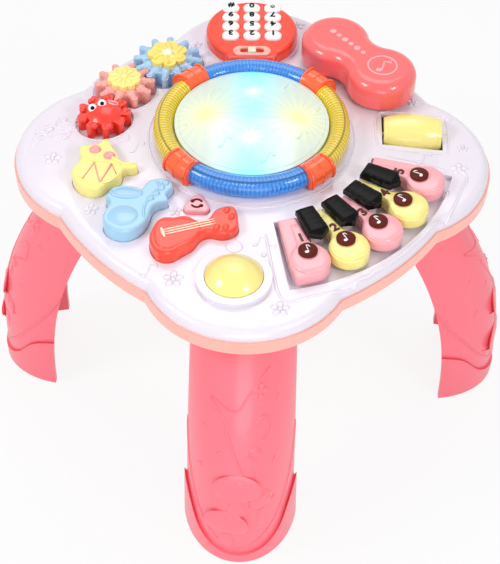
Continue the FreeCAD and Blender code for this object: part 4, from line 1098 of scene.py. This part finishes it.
@dataclass
class GearTrain(Section):
    """Three meshing gears as flowers and a little creature."""

    nodes: dict[str, bpy.types.Object]
    looks = {"blue_flower_gear": FLOWER_BLUE, "pinwheel_cap": SUN, "pink_flower_gear": FLOWER_PINK,
             "daisy_cap": YELLOW,
             "red_animal_gear": CREATURE, "gear_screws": STEEL}

    def petals(self, node: str, body: str, spot: GearSpot, look: Finish, slot: str, petals: Petals) -> None:
        """Puffed petals on a gear's teeth.

        Args:
            node: the gear.
            body: its body.
            spot: where it turns.
            look: finish.
            slot: material slot.
            petals: the petals' sizes.
        """
        middle = (petals.inner + petals.outer) / 2
        reach = (petals.outer - petals.inner) / 2
        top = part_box(node)[1].z / MM
        bag = Bag(node + "_petals")
        for k in range(petals.count):
            turn = petals.first + 360 * k / petals.count
            way = Vector((*polar(1, turn), 0))
            axle = Vector((spot.x, spot.y, top - 1.0))
            bag.puff(axle + way * (0.56 * petals.outer), way, UP, (0.3 * petals.outer, petals.half, 3.6))
            bag.puff(axle + way * middle, way, UP, (reach, 2.5, 2.8))
        bag.build(look, body, slot)

    def meshes(self) -> None:
        """Petals, swirled caps, and the creature's eyes, shell patch and bumps."""
        self.petals("blue_flower_gear", "blue_gear", BLUE_SPOT, FLOWER_BLUE, "gear_blue",
                    Petals(12, 239.7, 14.0, 25.2, 4.2))
        self.petals("pink_flower_gear", "pink_gear", PINK_SPOT, FLOWER_PINK, "gear_pink",
                    Petals(10, 44.7, 11.5, 21.6, 4.2))
        cap = Bag("pinwheel_swirl")
        x, y = BLUE_SPOT.x, BLUE_SPOT.y
        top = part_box("pinwheel_cap")[1].z / MM
        for k in range(6):
            arm = [polar(r, 60 * k + 3.2 * r, x, y) for r in (3.5, 6.5, 9.5, 12.5)]
            cap.bead([Vector((*p, top - 0.8)) for p in smooth_line(arm)], 2.4)
        cap.build(SUN, "blue_gear", "cap_yellow")
        hub = Bag("pinwheel_hub")
        hub.lathe([(0.1, -0.6), (4.4, -0.6), (4.2, 1.4), (3.2, 2.2), (0.1, 2.5)], Vector((x, y, top)), UP)
        hub.build(CREAM, "blue_gear", "slider_cream")
        daisy = Bag("daisy_ribs")
        x, y = PINK_SPOT.x, PINK_SPOT.y
        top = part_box("daisy_cap")[1].z / MM
        for k in range(10):
            way = Vector((*polar(1, 36 * k + 18), 0))
            daisy.puff(Vector((x, y, top - 0.5)) + way * 6.6, way, UP, (5.2, 1.7, 1.8))
        daisy.lathe([(0.1, -0.5), (2.8, -0.5), (2.6, 1.4), (1.8, 2.0), (0.1, 2.2)], Vector((x, y, top)), UP)
        daisy.build(YELLOW, "pink_gear", "cap_yellow")
        self.creature()

    def creature(self) -> None:
        """Eyes, pupils, spiral patch and bumps of the red gear."""
        x, y = RED_SPOT.x, RED_SPOT.y
        skin = Skin("red_animal_gear", self.nodes)
        bumps = Bag("creature_bumps")
        for k in range(9):
            px, py = polar(15.6, 450.6 + 40 * k, x, y)
            bumps.puff(skin.top(px, py) - UP * 0.8, Vector((*polar(1, 40 * k), 0)), UP, (3.3, 2.7, 2.4))
        bumps.build(CREATURE, "red_gear", "gear_red")
        eyes, pupils = Bag("creature_eyes"), Bag("creature_pupils")
        for side in (-1, 1):
            spot = skin.top(x - 4.6 + side * 3.3, y + 1.6 + side * 1.8)
            eyes.puff(spot, Vector((1, 0, 0)), Vector((0, -0.4, 1)), (3.3, 3.3, 2.4))
            pupils.puff(spot + Vector((0.3, -1.5, 1.4)), Vector((1, 0, 0)), Vector((0, -0.5, 1)),
                        (1.5, 1.5, 1.1))
        eyes.build(WHITE, "red_gear", "slider_cream")
        pupils.build(BLACK, "red_gear", "black_key")
        patch = Bag("creature_spiral")
        curl = [polar(0.6 + 0.45 * k, 50 * k, x + 5.4, y + 7.4) for k in range(11)]
        patch.bead([skin.top(*p) for p in smooth_line(curl, 4)], 0.75)
        patch.build(PINK, "red_gear", "key_pink")


@dataclass
class Instruments(Section):
    """Shape buttons: snare, saxophone, guitar, mode and dome."""

    nodes: dict[str, bpy.types.Object]
    looks = {"drum_button": YELLOW, "saxophone_button": SAX, "guitar_button": GUITAR, "mode_button": PINK,
             "dome_button": YELLOW}

    def meshes(self) -> None:
        """Raised details of the snare, saxophone, guitar and mode shapes."""
        self.snare()
        self.saxophone()
        self.guitar()
        skin = Skin("mode_button", self.nodes)
        bag = Bag("mode_symbol")
        for start in (20, 200):
            arc = [polar(3.7, start + 14 * k, -34.8, -61.5) for k in range(10)]
            bag.bead(on_top(skin, arc), 0.8)
            bag.puff(skin.top(*arc[-1]), Vector((1, 0, 0)), UP, (1.5, 1.5, 0.7))
        bag.build(BROWN, "mode", "black_key")

    def snare(self) -> None:
        """Hoops, zigzag cord and sticks of the snare."""
        skin = Skin("drum_button", self.nodes)
        bag = Bag("snare_print")
        zig = [(-119, -25), (-114, -45), (-108, -28), (-102, -48), (-96, -29), (-91.5, -39)]
        bag.bead(on_top(skin, zig), 1.0)
        for x, y in ((-109, -15), (-98.5, -20.5)):
            bag.puff(skin.top(x, y), Vector((1, 0, 0)), UP, (4.2, 3.6, 2.6))
        bag.build(PINK_PRINT, "snare", "key_pink")
        hoops = Bag("snare_hoops")
        hoops.bead(on_top(skin, smooth_line([(-121, -22), (-112, -25.5), (-100, -26.5), (-89, -29.5)]),
                          -0.2), 1.2)
        hoops.bead(on_top(skin, smooth_line([(-118.5, -42), (-110, -48.5), (-102, -48.5), (-93.5, -43),
                                             (-89.5, -38)]), -0.2), 1.2)
        hoops.bead(on_top(skin, smooth_line([(-98, -21), (-90, -26.5), (-80.5, -28.5)]), -0.1), 1.5)
        hoops.build(YELLOW, "snare", "snare_yellow")

    def saxophone(self) -> None:
        """Bell rim, hollow and keys of the saxophone."""
        skin = Skin("saxophone_button", self.nodes)
        bag = Bag("saxophone_keys")
        bell = [(-83 + 10.2 * math.cos(math.radians(12 * k)),
                 -57 + 4.8 * math.sin(math.radians(12 * k))) for k in range(30)]
        bag.bead(on_top(skin, bell, -0.2), 1.3, True)
        for x, y in ((-66, -62), (-62.5, -57), (-59.5, -51.5), (-57, -46.5)):
            bag.puff(skin.top(x, y), Vector((1, 0, 0)), UP, (2.6, 2.4, 1.6))
        bag.bead(on_top(skin, smooth_line([(-69, -80), (-69.5, -70), (-66, -60), (-61, -50), (-63.5, -45)]),
                        -0.2), 1.1)
        bag.puff(skin.top(-83, -79) - Vector((0, 0, 1.6)), Vector((1, 0.2, 0)), UP, (12, 11, 3.4))
        bag.build(SAX, "saxophone", "sax_blue")
        hollow = Bag("saxophone_bell")
        hollow.puff(skin.top(-83, -57), Vector((1, 0, 0)), UP, (8.6, 3.5, 0.35))
        hollow.build(FLOWER_BLUE, "saxophone", "gear_blue")

    def guitar(self) -> None:
        """Bridge, strings, tuners and the raised rim round the body of the guitar."""
        skin = Skin("guitar_button", self.nodes)
        way = Vector((33, 12, 0)).normalized()
        side = Vector((-way.y, way.x, 0))
        bag = Bag("guitar_strings")
        start = Vector((-55.0, -93.0, 0))
        for k in (-1, 0, 1):
            a = start + side * (2.1 * k)
            line = [a + way * (36.0 * s / 8) for s in range(9)]
            bag.bead(on_top(skin, [(p.x, p.y) for p in line], 0.3), 0.5)
        bridge = [start - side * 4.4, start, start + side * 4.4]
        bag.bead(on_top(skin, [(p.x, p.y) for p in bridge], 0.2), 1.5)
        bag.build(CREAM, "guitar", "slider_cream")
        body = Bag("guitar_tuners")
        for x, y in ((-14, -70), (-10.5, -76), (-14, -86), (-20, -86.5)):
            body.puff(skin.top(x, y), Vector((0.4, 1, 0)), UP, (3.0, 2.2, 1.7))
        rim = [(-60.5, -92), (-58, -82), (-50, -80.5), (-42, -79), (-34, -82.5), (-31, -88), (-35, -96),
               (-43, -102),
               (-51, -107), (-58, -103)]
        body.bead(on_top(skin, smooth_line(rim, 5, True), -0.2), 0.8, True)
        body.build(GUITAR, "guitar", "guitar_orange")


@dataclass
class RollerDress(Section):
    """Barrel roller with a ridge near each end."""

    nodes: dict[str, bpy.types.Object]
    ridge_place: float = 17.6
    ridge_radius: float = 12.95
    looks = {"roller": YELLOW, "roller_axle": STEEL}

    def meshes(self) -> None:
        """The two ridges."""
        low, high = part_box("roller")
        centre = (low + high) / 2 / MM
        bag = Bag("roller_ridges")
        for side in (-1, 1):
            spot = centre + Vector((side * self.ridge_place, 0, 0))
            bag.bead([spot + Vector((0, self.ridge_radius * math.cos(a), self.ridge_radius * math.sin(a)))
                      for a in [math.radians(7.5 * k) for k in range(48)]], 0.5, True)
        bag.build(YELLOW, "roller", "snare_yellow")


@dataclass
class Studio:
    """Floor, soft light and the camera."""

    place: Vector = field(default_factory=lambda: Vector((0.02199, -0.7208, 0.88509)))
    forward: Vector = field(default_factory=lambda: Vector((-0.02031, 0.66899, -0.74299)))
    upward: Vector = field(default_factory=lambda: Vector((-0.03857, 0.74207, 0.66922)))
    focal: float = 87.77
    world_strength: float = 0.5

    def camera(self) -> None:
        """Camera at the photograph's viewing angle."""
        data = bpy.data.cameras.new("camera")
        data.lens = self.focal
        data.sensor_width = 36.0
        data.sensor_fit = "AUTO"
        camera = bpy.data.objects.new("camera", data)
        back = -self.forward.normalized()
        right = self.upward.cross(back).normalized()
        top = back.cross(right)
        frame = Matrix((right, top, back)).transposed().to_4x4()
        frame.translation = self.place
        camera.matrix_world = frame
        bpy.context.scene.collection.objects.link(camera)
        bpy.context.scene.camera = camera

    def lamp(self, name: str, place: Point2, height: float, size: float, power: float) -> None:
        """Soft square lamp that faces the table top.

        Args:
            name: its name.
            place: position in plan, in metres.
            height: height in metres.
            size: side in metres.
            power: power in watts.
        """
        data = bpy.data.lights.new(name, "AREA")
        data.size = size
        data.energy = power
        lamp = bpy.data.objects.new(name, data)
        lamp.location = (*place, height)
        lamp.rotation_euler = (Vector((0, 0, 0.2)) - lamp.location).to_track_quat("-Z", "Y").to_euler()
        bpy.context.scene.collection.objects.link(lamp)

    @staticmethod
    def white_to_eye(tree: bpy.types.NodeTree, lit: object, share: float) -> object:
        """Adds plain white where a camera, gloss or glass ray looks.

        Args:
            tree: node tree.
            lit: the lit shader's socket.
            share: how much of the white shows.

        Returns:
            The mixed shader socket.
        """
        path = tree.nodes.new("ShaderNodeLightPath")
        first = tree.nodes.new("ShaderNodeMath")
        first.operation = "MAXIMUM"
        tree.links.new(path.outputs["Is Camera Ray"], first.inputs[0])
        tree.links.new(path.outputs["Is Glossy Ray"], first.inputs[1])
        second = tree.nodes.new("ShaderNodeMath")
        second.operation = "MAXIMUM"
        tree.links.new(first.outputs[0], second.inputs[0])
        tree.links.new(path.outputs["Is Transmission Ray"], second.inputs[1])
        third = tree.nodes.new("ShaderNodeMath")
        third.operation = "MULTIPLY"
        third.inputs[1].default_value = share
        tree.links.new(second.outputs[0], third.inputs[0])
        white = tree.nodes.new("ShaderNodeBackground" if tree.nodes.get("World Output") else "ShaderNodeEmission")
        white.inputs["Color"].default_value = (1, 1, 1, 1)
        white.inputs["Strength"].default_value = 1.0
        mix = tree.nodes.new("ShaderNodeMixShader")
        tree.links.new(third.outputs[0], mix.inputs[0])
        tree.links.new(lit, mix.inputs[1])
        tree.links.new(white.outputs[0], mix.inputs[2])
        return mix.outputs[0]

    def build(self) -> None:
        """Makes the camera, the floor, the lamps and the world."""
        self.camera()
        mesh = bpy.data.meshes.new("floor")
        mesh.from_pydata([(-3, -3, 0), (3, -3, 0), (3, 3, 0), (-3, 3, 0)], [], [(0, 1, 2, 3)])
        floor = bpy.data.objects.new("floor", mesh)
        bpy.context.scene.collection.objects.link(floor)
        look = bpy.data.materials.new("floor")
        look.use_nodes = True
        tree = look.node_tree
        shader = tree.nodes["Principled BSDF"]
        shader.inputs["Base Color"].default_value = (0.86, 0.86, 0.87, 1)
        shader.inputs["Roughness"].default_value = 0.9
        out = tree.nodes["Material Output"]
        tree.links.new(self.white_to_eye(tree, shader.outputs[0], 0.88), out.inputs[0])
        mesh.materials.append(look)
        world = bpy.data.worlds.new("studio")
        world.use_nodes = True
        bpy.context.scene.world = world
        tree = world.node_tree
        sky = tree.nodes["Background"]
        sky.inputs["Color"].default_value = (1, 1, 1, 1)
        sky.inputs["Strength"].default_value = self.world_strength
        tree.links.new(self.white_to_eye(tree, sky.outputs[0], 1.0), tree.nodes["World Output"].inputs[0])
        self.lamp("window_left", (-0.75, -0.35), 0.95, 0.3, 4.0)
        self.lamp("window_right", (0.7, -0.6), 0.9, 0.24, 3.0)
        self.lamp("overhead", (0.0, 0.5), 1.2, 0.7, 3.4)
        self.lamp("low_front", (0.1, -1.1), 0.35, 0.6, 3.0)
        bpy.context.scene.view_settings.view_transform = "Standard"


def main() -> None:
    """Builds the groups, the studio and every section."""
    logging.basicConfig(level=logging.INFO)
    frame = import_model()
    GROUPS.update(moulded=moulded_group(), ribs=rib_group(), lamps=lamp_glow_group())
    Studio().build()
    nodes = frame["nodes"]
    sections = [TableTop, LegSet, DrumSet, PianoRow, KeypadPanel, HandsetDress, GearTrain, Instruments,
                RollerDress]
    for kind in sections:
        part = kind(nodes)
        part.dress()
        part.meshes()
        LOG.info("section %s done", kind.__name__)


if __name__ == "__main__":
    main()
